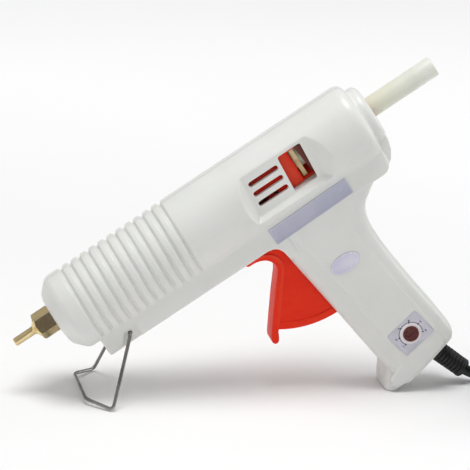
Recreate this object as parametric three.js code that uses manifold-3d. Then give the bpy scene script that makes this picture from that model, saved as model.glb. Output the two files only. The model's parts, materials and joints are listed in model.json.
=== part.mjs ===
// A pistol hot glue gun for 11 mm sticks, in millimetres.
// It is drawn level first: X runs back along the barrel, Y away from the side with the window, Z up.
// The finished tool is then tipped nose down until its wire stand and the toe of its handle touch the floor.
import * as THREE from 'three';
import { mergeVertices } from 'three/addons/utils/BufferGeometryUtils.js';
import Module from 'manifold-3d';

const wasm = await Module();
wasm.setup();

// Clearances and the overrun of every cut
const GAP = 0.3;
const RUNNING = 0.4;
const OVER = 2;

// Barrel and nose of the casing
const WALL = 2.2;
const BARREL_R = 22;
const NOSE_X = -68;
const NOSE_FLAT_R = 12.5;
const NOSE_LIP_R = 15.6;
const NOSE_LIP = 1.2;
const NOSE_CONE_R = 20.9;
const NOSE_CONE = 6.2;
const NOSE_BAND = 8.4;
const GROOVES = 12;
const GROOVE_X = -51.2;
const GROOVE_PITCH = 5.61;
const GROOVE_W = 2.2;
const GROOVE_DEPTH = 1.3;

// Lower keel of the body and the rear end
const HALF = 13.5;
const KEEL_X = -54.4;
const KEEL_DROP = 7.3;
const KEEL_Z = -BARREL_R - KEEL_DROP;
const KEEL_EDGE = 1.4;
const BODY_END = 123.8;
const BODY_DOME = 5;
const BODY_DOME_R = 17.8;
const CAP_END = 130;
const CAP_R = 16.6;
const CAP_ROUND = 3.4;
const CAP_LEAN = 3;
const CAP_HALF = 11;
const HEEL_ROUND = 5.5;

// Handle
const HANDLE_FRONT = 9;
const HANDLE_BACK = 8;
const HANDLE_SIDE = 6;
const HANDLE_EDGE = 1.8;
const HANDLE_FRONT_X = 51.6;
const HANDLE_BACK_X = 97.6;
const HANDLE_FLARE = 22;
const HANDLE_LEAN = 7.6;
const HANDLE_FRONT_LEAN = 13.6;
const HANDLE_NECK = 23;
const HANDLE_LOW = 110.7;
const TOE_FORWARD = 7.3;
const TOE_DROP = 108.35;
const TOE_X = HANDLE_FRONT_X + HANDLE_FRONT_LEAN - TOE_FORWARD;
const TOE_Z = KEEL_Z - TOE_DROP;
const TOE_FLAT = 4;
const TOE_HALF = 11;
const TOE_LENGTH = 12;
const TOE_RISE = 15;
const TOE_HOOK = 1.5;
const SOLE_DROP = 1.4;
const SOLE_RISE = 9.1;
const HEEL_BACK = 4.3;
const HEEL_CORNER = 5;

// Bore line of stick, chamber and nozzle
const BORE_Z = 2;
const STICK_R = 5.6;
const STICK_START = 16;
const STICK_END = 170.3;

// Nozzle
const NOZZLE_TIP = -92.7;
const NOZZLE_BORE = 1;
const TIP_R = 2.25;
const TIP_LENGTH = 12;
const CONE_LENGTH = 2.1;
const CONE_R = 5.4;
const HEX_ACROSS = 13;
const HEX_LENGTH = 9.9;
const HEX_TURN = 0.185;
const SHANK_R = 3.1;
const SHANK_LENGTH = 10.5;
const WASHER = 0.8;
const WASHER_R = 6.6;

// Melt chamber and what holds it
const CHAMBER_R = 10.5;
const CHAMBER_FRONT = -60;
const CHAMBER_BACK = 5;
const CHAMBER_BOSS_R = 7.2;
const CHAMBER_BORE = 6.1;
const CHAMBER_BORE_END = -50;
const CHAMBER_FLAT = 9.4;
const NIPPLE_R = 7.9;
const NIPPLE_LENGTH = 9;
const HEATER_LENGTH = 42;
const HEATER_W = 8;
const HEATER_T = 2.2;
const HEATER_X = -48;
const CLIP_W = 5;
const CLIP_T = 1;
const CLIP_INSET = 6;
const SUPPORT_T = 4;
const SUPPORT_FRONT = -57;
const SUPPORT_BACK = -1;

// Silicone sleeve between chamber and feed
const SLEEVE_WALL = 2;
const SLEEVE_END = 44;
const CLAMP_W = 4;
const CLAMP_T = 1.2;

// Window panel sunk into the near side of the barrel
const PANEL_SINK = 6.4;
const PANEL_Y = BARREL_R - PANEL_SINK;
const PANEL_TOP = 15.4;
const PANEL_BOTTOM = -8.9;
const PANEL_FRONT = 51.9;
const PANEL_BACK = 91.4;
const PANEL_SKEW = 0.07;
const PANEL_SLOPE_FRONT = 7;
const PANEL_SLOPE_BACK = 10;
const PANEL_SLOPE_DOWN = 5.2;
const PANEL_DEEP = 8;
const SLOTS = 3;
const SLOT_LENGTH = 18.2;
const SLOT_W = 3.1;
const SLOT_X = 54;
const SLOT_TOP = 9.2;
const SLOT_PITCH = 6;
const WINDOW_X = 74.2;
const WINDOW_W = 14;
const WINDOW_TOP = 13.8;
const WINDOW_H = 21.8;
const WINDOW_ROUND = 1.2;

// Trigger, its pivot and the feed
const PIVOT_X = 58.4;
const PIVOT_SINK = 0.3;
const PIVOT_Z = KEEL_Z + PIVOT_SINK;
const PULL_DEG = 24;
const TRIGGER_HALF = 6.4;
const TRIGGER_EDGE = 0.8;
const FAN_R = 54.5;
const FAN_BACK_DEG = 8;
const HUB_R = 6;
const BAR_W = 6.4;
const BAR_FOOT_X = 20.8;
const BAR_LENGTH = 46.8;
const BAR_FOOT_Z = PIVOT_Z - BAR_LENGTH;
const BAR_TOP_X = 40.6;
const BAR_TOP_DROP = 15;
const BAR_TOP_Z = PIVOT_Z - BAR_TOP_DROP;
const LIP_X = 30.3;
const LIP_DROP = 2.9;
const LIP_Z = KEEL_Z - LIP_DROP;
const LIP_T = 1.4;
const EYE_R = 3.2;
const ARM_FORK = 3.8;
const ARM_HALF = 4.9;
const PIN_R = 1.4;
const PIVOT_PIN_R = 2;
const LINK_DROP = 11.437;
const LINK_LENGTH = 15;
const LINK_T = 3;
const LINK_SLACK = 0.5;
const CARRIAGE_X = 66;
const SLED_LENGTH = 13;
const CARRIAGE_LENGTH = 15.3;
const CARRIAGE_WALL = 3;
const CARRIAGE_R = STICK_R + RUNNING + CARRIAGE_WALL;
const SHOE_DEPTH = 10;
const SHOE_T = 3;
const RAIL_T = 2.4;
const RAIL_IN = 6.6;
const RAIL_X = 52;
const RAIL_LENGTH = 40;
const LUG_W = 7;
const EAR_T = 2;
const EAR_REACH = 4.6;
const GRIP_T = 2.3;
const GRIP_BORE = STICK_R + RUNNING * 2;
const GRIP_EDGE = 1.4;
const GRIP_HALF = GRIP_BORE + GRIP_EDGE;
const GRIP_LOW = 8.5;
const GRIP_PIN_R = 1.1;
const GRIP_EYE_R = 2.3;
const GRIP_PIN_UP = CARRIAGE_R + GRIP_EYE_R + GAP;
const SPRING_WIRE = 0.9;
const SPRING_TURNS_W = 2.6;
const SPRING_LEG = 9;
const PIVOT_BOSS_R = 3.3;
const PIVOT_BOSS_IN = 7;

// Rear collar that guides the stick
const COLLAR_R = 9.4;
const COLLAR_FLANGE_R = 11.4;
const COLLAR_FLANGE = 2;
const COLLAR_LENGTH = 8;

// Wire stand
const WIRE_R = 0.95;
const STAND_BACK = 15.1;
const STAND_X = KEEL_X + STAND_BACK;
const STAND_UP = 4.7;
const STAND_Z = KEEL_Z + STAND_UP;
const STAND_HALF = HALF - GAP * 1.5;
const STAND_PIN = 4.6;
const LEG_REACH = 29.4;
const LEG_DROP = 23.6;
const BAR_REACH = 9;
const BAR_LIFT = 9;
const FOOT_X = STAND_X - LEG_REACH;
const FOOT_Z = STAND_Z - LEG_DROP;
const FOOT_HALF = 29.3;
const BAR_X = FOOT_X - BAR_REACH;
const BAR_Z = FOOT_Z + BAR_LIFT;
const BAR_HALF = 18.1;
const WIRE_BEND = 3;
const WIRE_STEPS = 52;
const POCKET_DEPTH = 1.9;
const POCKET_TOP = 3.1;
const POCKET_FRONT = 2.5;
const POCKET_SLANT = 8.4;
const POCKET_BACK = 5;
const POCKET_PAD = 2;

// Casing screws: places along the tool
const SCREW_R = 1.3;
const SCREW_HEAD_R = 2.7;
const SCREW_HEAD = 1.8;
const SCREW_LENGTH = 17;
const POST_R = 3.4;
const HEAD_SINK = 2.2;
const SCREW_EDGE = 7.4;
const SCREW_BEHIND = 9;
const SCREW_REAR = 8;
const GRIP_SCREW_DOWN = 30.7;
const GRIP_SCREW_IN = 6.6;
const HEEL_SCREW_OUT = 1;
const HEEL_SCREW_UP = 21.4;
const TOE_SCREW = 10.2;
const SCREW_PLACES = [
  { x: KEEL_X + SCREW_EDGE, z: KEEL_Z + SCREW_EDGE },
  { x: CHAMBER_BACK + SCREW_BEHIND, z: KEEL_Z + SCREW_EDGE },
  { x: BODY_END - SCREW_REAR, z: KEEL_Z + SCREW_REAR },
  { x: BODY_END - SCREW_REAR * 2, z: BARREL_R - SCREW_EDGE },
  { x: HANDLE_BACK_X - GRIP_SCREW_IN, z: KEEL_Z - GRIP_SCREW_DOWN },
  { x: HANDLE_BACK_X + HEEL_SCREW_OUT, z: TOE_Z + HEEL_SCREW_UP },
  { x: TOE_X + TOE_SCREW, z: TOE_Z + TOE_SCREW },
];

// Dial, board and lead in the handle
const DIAL_IN = 13.5;
const DIAL_UP = 23.15;
const DIAL_X = HANDLE_BACK_X - DIAL_IN;
const DIAL_Z = TOE_Z + DIAL_UP;
const DIAL_R = 4.8;
const DIAL_RISE = 1.5;
const DIAL_SLOT = 1;
const SHAFT_R = 2.4;
const PLATE_W = 20.2;
const PLATE_H = 16.2;
const PLATE_TURN = 0.2;
const PLATE_T = 0.5;
const PLATE_SINK = 0.3;
const POT_R = 6.5;
const POT_T = 6;
const BOARD_T = 1.6;
const BOARD_SINK = 4.9;
const BOARD_Y = HALF - WALL - BOARD_SINK;
const BOARD_W = 26;
const BOARD_H = 25;
const BOARD_IN = 30.6;
const BOARD_UP = 25.65;
const BOARD_X = HANDLE_BACK_X - BOARD_IN;
const BOARD_Z = TOE_Z + BOARD_UP;
const BOARD_POST_R = 2.6;
const BOARD_SCREW_R = 1;
const TRIAC_W = 10;
const CAPACITOR_R = 3.6;
const CAPACITOR_H = 9;
const LEAD_R = 0.9;

// Bare label plates
const LABEL_W = 48.6;
const LABEL_H = 9.6;
const LABEL_IN = 23;
const LABEL_UP = 6.3;
const LABEL_X = HANDLE_BACK_X - LABEL_IN;
const LABEL_Z = KEEL_Z + LABEL_UP;
const LABEL_TURN = 0.025;
const BADGE_IN = 22.4;
const BADGE_DOWN = 29.4;
const BADGE_X = HANDLE_BACK_X - BADGE_IN;
const BADGE_Z = KEEL_Z - BADGE_DOWN;
const BADGE_W = 17.2;
const BADGE_H = 10.2;
const LABEL_T = 0.4;
const LABEL_SEAT = 0.05;

// Mains lead
const CORD_R = 3;
const BOOT_FROM_BACK = 6.4;
const BOOT_UP = 0.85;
const BOOT_X = HANDLE_BACK_X - BOOT_FROM_BACK;
const BOOT_Z = TOE_Z + BOOT_UP;
const BOOT_TURN_DEG = 19.8;
const BOOT_OUT = 19;
const BOOT_IN = 9;
const BOOT_R = 5.5;
const BOOT_END_R = 4.8;
const BOOT_RIBS = 8;
const BOOT_RIB = 0.5;
const BOOT_FLANGE_R = 6.8;
const BOOT_FLANGE = 2;
const CLAMP_BAR_W = 21;
const CLAMP_BAR_H = 6;
const CLAMP_BAR_T = 3;
const CLAMP_UP = 15.5;
const CLAMP_SCREW_R = 1.2;
const CLAMP_SCREW_SPREAD = 7.6;

// Coiled length of the lead and its plug
const COIL_IN_R = 26.6;
const COIL_PITCH = 6.55;
const COIL_LAYER_TURNS = 1.6;
const COIL_LAYERS = 4;
const COIL_RISE = 6.5;
const COIL_STEPS = 24;
const COIL_SIDES = 6;
// The lead from the strain relief: distance back from its mouth, sideways, and height above the floor
const LEAD_ROUTE = [
  [0.25, 0, 8.58],
  [4.7, 0, 6.01],
  [9.35, 0, 4.31],
  [13.25, 0, 3.55],
  [16.7, 0, 3.34],
  [21, 0.28, 3.3],
  [26, 1.41, 3.5],
  [31, 3.26, 3.7],
  [36, 4.57, 4],
  [41, 5, 4.15],
  [44.7, 5, 4.15],
];
// The tail turns inwards on top of the coil and rises to the plug
const TAIL_BEND = 24;
const TAIL_TURN_DEG = 135;
const TAIL_STRAIGHT = 6;
const TAIL_RISE = 3.6;
const PLUG_LENGTH = 26;
const PLUG_W = 24;
const PLUG_T = 13;
const PLUG_NECK = 10;
const PLUG_NECK_R = 4.4;
const PLUG_PIN_R = 2;
const PLUG_PIN_LENGTH = 19;
const PLUG_PIN_HALF = 9.5;
const TIE_W = 5;
const TIE_T = 0.8;

const SIDES = 28;
const SMALL_SIDES = 16;
const SCREW_SIDES = 10;
const BOOT_SIDES = 10;
const TINY_SIDES = 8;

// Solids for joining and cutting, and the way back to a mesh
function solid(geometry) {
  const plain = new THREE.BufferGeometry();
  plain.setAttribute('position', geometry.getAttribute('position').clone());
  if (geometry.index) plain.setIndex(geometry.index.clone());
  const merged = mergeVertices(plain, 1e-5);
  return new wasm.Manifold(new wasm.Mesh({
    numProp: 3,
    vertProperties: new Float32Array(merged.getAttribute('position').array),
    triVerts: new Uint32Array(merged.index.array),
  }));
}

function geometryOf(manifold) {
  const mesh = manifold.getMesh();
  const geometry = new THREE.BufferGeometry();
  geometry.setAttribute('position', new THREE.BufferAttribute(mesh.vertProperties, 3));
  geometry.setIndex(new THREE.BufferAttribute(mesh.triVerts, 1));
  geometry.computeVertexNormals();
  return geometry;
}

function join(first, ...others) {
  return others.reduce((whole, piece) => whole.add(piece), first);
}

function cut(whole, ...tools) {
  return tools.reduce((rest, tool) => rest.subtract(tool), whole);
}

// A block between two corners
function block(x0, x1, y0, y1, z0, z1) {
  const box = new THREE.BoxGeometry(x1 - x0, y1 - y0, z1 - z0);
  box.translate((x0 + x1) / 2, (y0 + y1) / 2, (z0 + z1) / 2);
  return solid(box);
}

// A round bar along X, Y or Z from one end to the other; the centre gives the other two places
function barX(radius, x0, x1, y, z, sides = SMALL_SIDES, endRadius = radius) {
  const bar = new THREE.CylinderGeometry(radius, endRadius, x1 - x0, sides);
  bar.rotateZ(Math.PI / 2);
  bar.translate((x0 + x1) / 2, y, z);
  return solid(bar);
}

function barY(radius, y0, y1, x, z, sides = SMALL_SIDES) {
  const bar = new THREE.CylinderGeometry(radius, radius, y1 - y0, sides);
  bar.translate(x, (y0 + y1) / 2, z);
  return solid(bar);
}

// A solid turned about the X axis from its profile of [x, radius] points
function turned(profile, sides = SIDES) {
  const lathe = new THREE.LatheGeometry(profile.map(([x, r]) => new THREE.Vector2(r, x)), sides);
  lathe.rotateZ(-Math.PI / 2);
  return solid(lathe);
}

// A flat outline of [x, z] points given a thickness along Y, with rounded rims if an edge is given
function slab(outline, y0, y1, edge = 0, holes = []) {
  const shape = outline instanceof THREE.Shape ? outline : new THREE.Shape(outline.map(([x, z]) => new THREE.Vector2(x, z)));
  shape.holes = holes;
  const plate = new THREE.ExtrudeGeometry(shape, {
    depth: y1 - y0 - edge * 2,
    bevelEnabled: edge > 0,
    bevelThickness: edge,
    bevelSize: edge,
    bevelOffset: -edge,
    bevelSegments: 2,
    curveSegments: 8,
  });
  plate.rotateX(Math.PI / 2);
  plate.translate(0, y1 - edge, 0);
  return solid(plate);
}

// A rounded rectangle about the origin, turned and moved to its place
function roundedPlate(width, height, corner, x, z, turn) {
  const shape = new THREE.Shape();
  const w = width / 2;
  const h = height / 2;
  shape.moveTo(corner - w, -h);
  shape.lineTo(w - corner, -h);
  shape.absarc(w - corner, corner - h, corner, -Math.PI / 2, 0);
  shape.lineTo(w, h - corner);
  shape.absarc(w - corner, h - corner, corner, 0, Math.PI / 2);
  shape.lineTo(corner - w, h);
  shape.absarc(corner - w, h - corner, corner, Math.PI / 2, Math.PI);
  shape.lineTo(-w, corner - h);
  shape.absarc(corner - w, corner - h, corner, Math.PI, Math.PI * 1.5);
  const points = shape.extractPoints(4).shape.slice(0, -1);
  return points.map((p) => p.rotateAround(new THREE.Vector2(), turn)).map((p) => [p.x + x, p.y + z]);
}

// A round tube swept through points, closed at both ends
function tube(points, radius, steps, sides = TINY_SIDES) {
  const section = new THREE.Shape();
  for (let i = 0; i < sides; i += 1) {
    const angle = (i / sides) * Math.PI * 2;
    const x = radius * Math.cos(angle);
    const y = radius * Math.sin(angle);
    if (i) section.lineTo(x, y);
    else section.moveTo(x, y);
  }
  const path = points instanceof THREE.Curve ? points : new THREE.CatmullRomCurve3(points);
  return new THREE.ExtrudeGeometry(section, { steps, bevelEnabled: false, extrudePath: path });
}

// A closed skin over rings of points that all have the same count
function loft(rings) {
  const count = rings[0].length;
  const points = rings.flat();
  const faces = [];
  for (let ring = 0; ring + 1 < rings.length; ring += 1) {
    for (let i = 0; i < count; i += 1) {
      const a = ring * count + i;
      const b = ring * count + ((i + 1) % count);
      faces.push(a, b, a + count, b, b + count, a + count);
    }
  }
  const last = (rings.length - 1) * count;
  for (let i = 1; i + 1 < count; i += 1) {
    faces.push(0, i + 1, i);
    faces.push(last, last + i, last + i + 1);
  }
  const geometry = new THREE.BufferGeometry().setFromPoints(points);
  geometry.setIndex(faces);
  return geometry;
}

// Wire stand: one bent wire from pin to pin, mirrored about the middle of the tool
function standHalf() {
  const pin = new THREE.Vector3(STAND_X, STAND_HALF - STAND_PIN, STAND_Z);
  const pivot = new THREE.Vector3(STAND_X, STAND_HALF, STAND_Z);
  const foot = new THREE.Vector3(FOOT_X, FOOT_HALF, FOOT_Z);
  const corner = new THREE.Vector3(BAR_X, BAR_HALF, BAR_Z);
  const middle = new THREE.Vector3(BAR_X, 0, BAR_Z);
  const step = (from, to, distance) => to.clone().sub(from).setLength(distance).add(from);
  return [
    pin,
    step(pivot, pin, WIRE_BEND / 2),
    step(pivot, foot, WIRE_BEND / 2),
    step(pivot, foot, WIRE_BEND * 3),
    step(foot, pivot, WIRE_BEND * 2),
    step(foot, pivot, WIRE_BEND / 2),
    foot,
    step(foot, corner, WIRE_BEND),
    step(corner, foot, WIRE_BEND),
    corner.clone().lerp(step(corner, middle, WIRE_BEND), 0.2),
    step(corner, middle, WIRE_BEND),
    middle,
  ];
}

const farWire = standHalf();
const nearWire = farWire.slice(0, -1).reverse().map((p) => new THREE.Vector3(p.x, -p.y, p.z));
const wirePath = new THREE.CatmullRomCurve3([...farWire, ...nearWire], false, 'centripetal');
wirePath.arcLengthDivisions = 600;
const wireForm = tube(wirePath, WIRE_R, WIRE_STEPS, TINY_SIDES);

// The tilt at which the lowest point of the wire and the flat of the toe touch the same floor
function wireAboveToe(tilt) {
  const spots = wireForm.getAttribute('position');
  let lowest = Infinity;
  for (let i = 0; i < spots.count; i += 1) {
    lowest = Math.min(lowest, (spots.getX(i) - TOE_X) * Math.sin(tilt) + (spots.getZ(i) - TOE_Z) * Math.cos(tilt));
  }
  return lowest;
}

const tiltBounds = [0, Math.PI / 3];
while (tiltBounds[1] - tiltBounds[0] > 1e-9) {
  const middle = (tiltBounds[0] + tiltBounds[1]) / 2;
  tiltBounds[wireAboveToe(middle) > 0 ? 0 : 1] = middle;
}
const TILT = tiltBounds[0];
const floorAlong = [Math.cos(TILT), -Math.sin(TILT)];

// Outer form of the body: ribbed barrel with its nose, keel, rear cap, handle and toe
function barrelForm() {
  const profile = [[NOSE_X, 0], [NOSE_X, NOSE_FLAT_R], [NOSE_X + NOSE_LIP, NOSE_LIP_R]];
  profile.push([NOSE_X + NOSE_CONE, NOSE_CONE_R], [NOSE_X + NOSE_BAND, BARREL_R]);
  for (let i = 0; i < GROOVES; i += 1) {
    const x = GROOVE_X + i * GROOVE_PITCH;
    profile.push([x - GROOVE_W / 2, BARREL_R], [x, BARREL_R - GROOVE_DEPTH], [x + GROOVE_W / 2, BARREL_R]);
  }
  for (let i = 0; i <= 3; i += 1) {
    const turn = (i / 3) * Math.PI / 2;
    const r = BODY_DOME_R + (BARREL_R - BODY_DOME_R) * Math.cos(turn);
    profile.push([BODY_END - BODY_DOME + BODY_DOME * Math.sin(turn), r]);
  }
  profile.push([BODY_END, 0]);
  return turned(profile);
}

function capForm() {
  const profile = [[BODY_END - OVER, 0], [BODY_END - OVER, CAP_R], [CAP_END - CAP_ROUND, CAP_R]];
  for (let i = 1; i <= 3; i += 1) {
    const turn = (i / 3) * Math.PI / 2;
    profile.push([CAP_END - CAP_ROUND + CAP_ROUND * Math.sin(turn), CAP_R - CAP_ROUND + CAP_ROUND * Math.cos(turn)]);
  }
  profile.push([CAP_END, 0]);
  const lower = slab([
    [BODY_END - HEEL_ROUND * 3, 0],
    [BODY_END - HEEL_ROUND * 3, KEEL_Z + KEEL_EDGE],
    [BODY_END - CAP_ROUND, KEEL_Z + KEEL_EDGE],
    [BODY_END + KEEL_EDGE, KEEL_Z + HEEL_ROUND],
    [CAP_END - CAP_LEAN, KEEL_Z + HEEL_ROUND * 2],
    [CAP_END - KEEL_EDGE, -CAP_R],
    [CAP_END, 0],
  ], -CAP_HALF, CAP_HALF, KEEL_EDGE);
  return join(turned(profile), lower);
}

function keelForm() {
  const back = BODY_END - KEEL_EDGE;
  const corner = [];
  for (let i = 0; i <= 3; i += 1) {
    const turn = (i / 3) * Math.PI / 2;
    corner.push([back - HEEL_ROUND + HEEL_ROUND * Math.sin(turn), KEEL_Z + HEEL_ROUND - HEEL_ROUND * Math.cos(turn)]);
  }
  return slab([
    [KEEL_X, 0],
    [KEEL_X, KEEL_Z + KEEL_EDGE],
    [KEEL_X + KEEL_EDGE, KEEL_Z],
    ...corner,
    [BODY_END, 0],
  ], -HALF, HALF, KEEL_EDGE);
}

// One level section of the handle, rounded more at the front than at the back
function handleRing(frontX, backX, half, z, inset) {
  const front = HANDLE_FRONT - inset;
  const back = HANDLE_BACK - inset;
  const side = HANDLE_SIDE;
  const ring = [];
  const corners = [
    [frontX + front, half - side, front, Math.PI, Math.PI / 2],
    [backX - back, half - side, back, Math.PI / 2, 0],
    [backX - back, side - half, back, 0, -Math.PI / 2],
    [frontX + front, side - half, front, -Math.PI / 2, -Math.PI],
  ];
  for (const [x, y, width, from, to] of corners) {
    for (let i = 0; i <= 3; i += 1) {
      const turn = from + (to - from) * (i / 3);
      ring.push(new THREE.Vector3(x + width * Math.cos(turn), y + side * Math.sin(turn), z));
    }
  }
  return ring.reverse();
}

// Levels down the handle: share of its height below the keel, then how much of the neck's flare is left
const handleShares = [[-0.08, 1], [0, 0.86], [0.03, 0.47], [0.08, 0.2], [0.14, 0.055], [0.22, 0], [0.6, 0], [1.12, 0]];

function handleForm(inset) {
  const rings = handleShares.map(([down, flare]) => {
    const lean = Math.max(0, down);
    const front = HANDLE_FRONT_X + HANDLE_FRONT_LEAN * lean + inset;
    const back = HANDLE_BACK_X + HANDLE_LEAN * lean + HANDLE_FLARE * flare - inset;
    return handleRing(front, back, HALF - inset, KEEL_Z - down * HANDLE_LOW, inset);
  });
  return solid(loft(rings.reverse()));
}

const toeFront = [TOE_X - floorAlong[0] * TOE_FLAT / 2, TOE_Z - floorAlong[1] * TOE_FLAT / 2];
const toeBack = [TOE_X + floorAlong[0] * TOE_FLAT / 2, TOE_Z + floorAlong[1] * TOE_FLAT / 2];
const heelX = HANDLE_BACK_X + HEEL_BACK;

// Side outline that rounds the handle's lower end, larger than the handle at its front, top and back
function soleForm(inset) {
  return slab([
    [TOE_X - inset, 0],
    [TOE_X + inset, toeBack[1] + inset],
    [toeBack[0] + TOE_FLAT * 2, toeBack[1] - SOLE_DROP / 2 + inset],
    [heelX - HEEL_CORNER, TOE_Z + SOLE_RISE - HEEL_CORNER / 2 + inset],
    [heelX + HEEL_CORNER / 2 - inset, TOE_Z + SOLE_RISE - SOLE_DROP + inset],
    [heelX + HEEL_CORNER - inset, TOE_Z + SOLE_RISE + HEEL_CORNER],
    [heelX + HEEL_CORNER - inset, TOE_Z + SOLE_RISE * 2],
    [heelX + HANDLE_FLARE, 0],
  ], inset - HALF, HALF - inset, inset ? 0 : HANDLE_EDGE);
}

function toeForm() {
  return slab([
    [TOE_X + TOE_LENGTH, TOE_Z + TOE_RISE],
    [TOE_X + TOE_LENGTH / 2, TOE_Z + TOE_RISE],
    [TOE_X + TOE_HOOK, TOE_Z + TOE_RISE * 0.55],
    [toeFront[0] - TOE_HOOK, toeFront[1] + TOE_HOOK * 1.5],
    toeFront,
    toeBack,
    [toeBack[0] + TOE_LENGTH, toeBack[1] - SOLE_DROP / 2],
  ], -TOE_HALF, TOE_HALF, 0);
}

// The sunk window panel is cut by a wedge-sided block
function panelCut() {
  const depth = BARREL_R + OVER - PANEL_Y;
  const grow = depth / PANEL_DEEP;
  const lean = PANEL_SKEW * (PANEL_TOP - PANEL_BOTTOM) / 2;
  const inner = [
    [PANEL_FRONT - lean, PANEL_BOTTOM],
    [PANEL_BACK - lean, PANEL_BOTTOM],
    [PANEL_BACK + lean, PANEL_TOP],
    [PANEL_FRONT + lean, PANEL_TOP],
  ];
  const slopes = [
    [-PANEL_SLOPE_FRONT, -PANEL_SLOPE_DOWN],
    [PANEL_SLOPE_BACK, -PANEL_SLOPE_DOWN],
    [PANEL_SLOPE_BACK, 0],
    [-PANEL_SLOPE_FRONT, 0],
  ];
  const near = inner.map(([x, z], i) => new THREE.Vector3(x + slopes[i][0] * grow, -PANEL_Y - depth, z + slopes[i][1] * grow));
  const far = inner.map(([x, z]) => new THREE.Vector3(x, -PANEL_Y, z));
  return solid(loft([far, near]));
}

function panelHoles() {
  const holes = [];
  for (let i = 0; i < SLOTS; i += 1) {
    const z = SLOT_TOP - i * SLOT_PITCH;
    const x = SLOT_X + SLOT_LENGTH / 2 + PANEL_SKEW * z;
    const outline = roundedPlate(SLOT_LENGTH, SLOT_W, SLOT_W * 0.49, x, z, 0);
    holes.push(slab(outline, -PANEL_Y - OVER, -PANEL_Y + WALL + OVER));
  }
  const middle = WINDOW_TOP - WINDOW_H / 2;
  const window = roundedPlate(WINDOW_W, WINDOW_H, WINDOW_ROUND, WINDOW_X + WINDOW_W / 2, 0, 0);
  const skewed = window.map(([x, z]) => [x + PANEL_SKEW * z, z + middle]);
  holes.push(slab(skewed, -PANEL_Y - OVER, -PANEL_Y + WALL + OVER));
  return holes;
}

// Hollow of the body
function bodyHollow() {
  const inner = BARREL_R - WALL;
  const barrel = turned([
    [NOSE_X + WALL, 0],
    [NOSE_X + WALL, NOSE_FLAT_R - WALL / 2],
    [NOSE_X + NOSE_BAND + WALL, inner - GROOVE_DEPTH / 2],
    [BODY_END - BODY_DOME, inner - GROOVE_DEPTH / 2],
    [BODY_END - WALL, BODY_DOME_R - WALL],
    [BODY_END - WALL, 0],
  ]);
  const keel = block(KEEL_X + WALL, BODY_END - HEEL_ROUND, WALL - HALF, HALF - WALL, KEEL_Z + WALL, 0);
  const behindPanel = block(
    PANEL_FRONT - PANEL_SLOPE_FRONT,
    PANEL_BACK + PANEL_SLOPE_BACK,
    -BARREL_R,
    WALL - PANEL_Y,
    PANEL_BOTTOM - PANEL_SLOPE_DOWN,
    BARREL_R,
  );
  const handle = handleForm(WALL).intersect(soleForm(WALL));
  return join(cut(join(barrel, keel), behindPanel), handle);
}

// Pocket in each flank where the wire stand turns; one side of the tool is drawn, the other mirrored
function pocketOutline() {
  return [
    [STAND_X - POCKET_FRONT, STAND_Z + POCKET_TOP],
    [STAND_X - POCKET_SLANT, KEEL_Z - WIRE_R],
    [STAND_X + POCKET_BACK, KEEL_Z - WIRE_R],
    [STAND_X + POCKET_BACK, STAND_Z + POCKET_TOP],
  ];
}

function sided(side, outline, from, to, edge = 0) {
  return side < 0 ? slab(outline, -to, -from, edge) : slab(outline, from, to, edge);
}

// Places of the small screws that hold the board and the clamp bar of the lead
const boardFace = BOARD_Y + BOARD_T;
const boardScrews = [
  { x: BOARD_X + BOARD_POST_R, z: BOARD_Z + BOARD_POST_R },
  { x: BOARD_X + BOARD_W - BOARD_POST_R, z: BOARD_Z + BOARD_H - BOARD_POST_R },
];
const clampAt = {
  x: BOOT_X - CLAMP_UP * Math.sin(THREE.MathUtils.degToRad(BOOT_TURN_DEG)),
  z: BOOT_Z + CLAMP_UP * Math.cos(THREE.MathUtils.degToRad(BOOT_TURN_DEG)),
};
const clampScrews = [-1, 1].map((way) => ({ x: clampAt.x + way * CLAMP_SCREW_SPREAD, z: clampAt.z }));

// Posts inside each half for the small screws
function smallPosts(side) {
  const wall = HALF - WALL / 2;
  if (side < 0) return clampScrews.map(({ x, z }) => barY(BOARD_POST_R, -wall, -GAP / 2, x, z, SCREW_SIDES));
  return boardScrews.map(({ x, z }) => barY(BOARD_POST_R, boardFace + GAP, wall, x, z, SCREW_SIDES));
}

function smallHoles(side) {
  const wall = HALF - WALL;
  if (side < 0) {
    return clampScrews.map(({ x, z }) => barY(CLAMP_SCREW_R + GAP, -wall, OVER, x, z, SCREW_SIDES));
  }
  return boardScrews.map(({ x, z }) => barY(BOARD_SCREW_R + GAP, BOARD_Y, wall, x, z, SCREW_SIDES));
}

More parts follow.
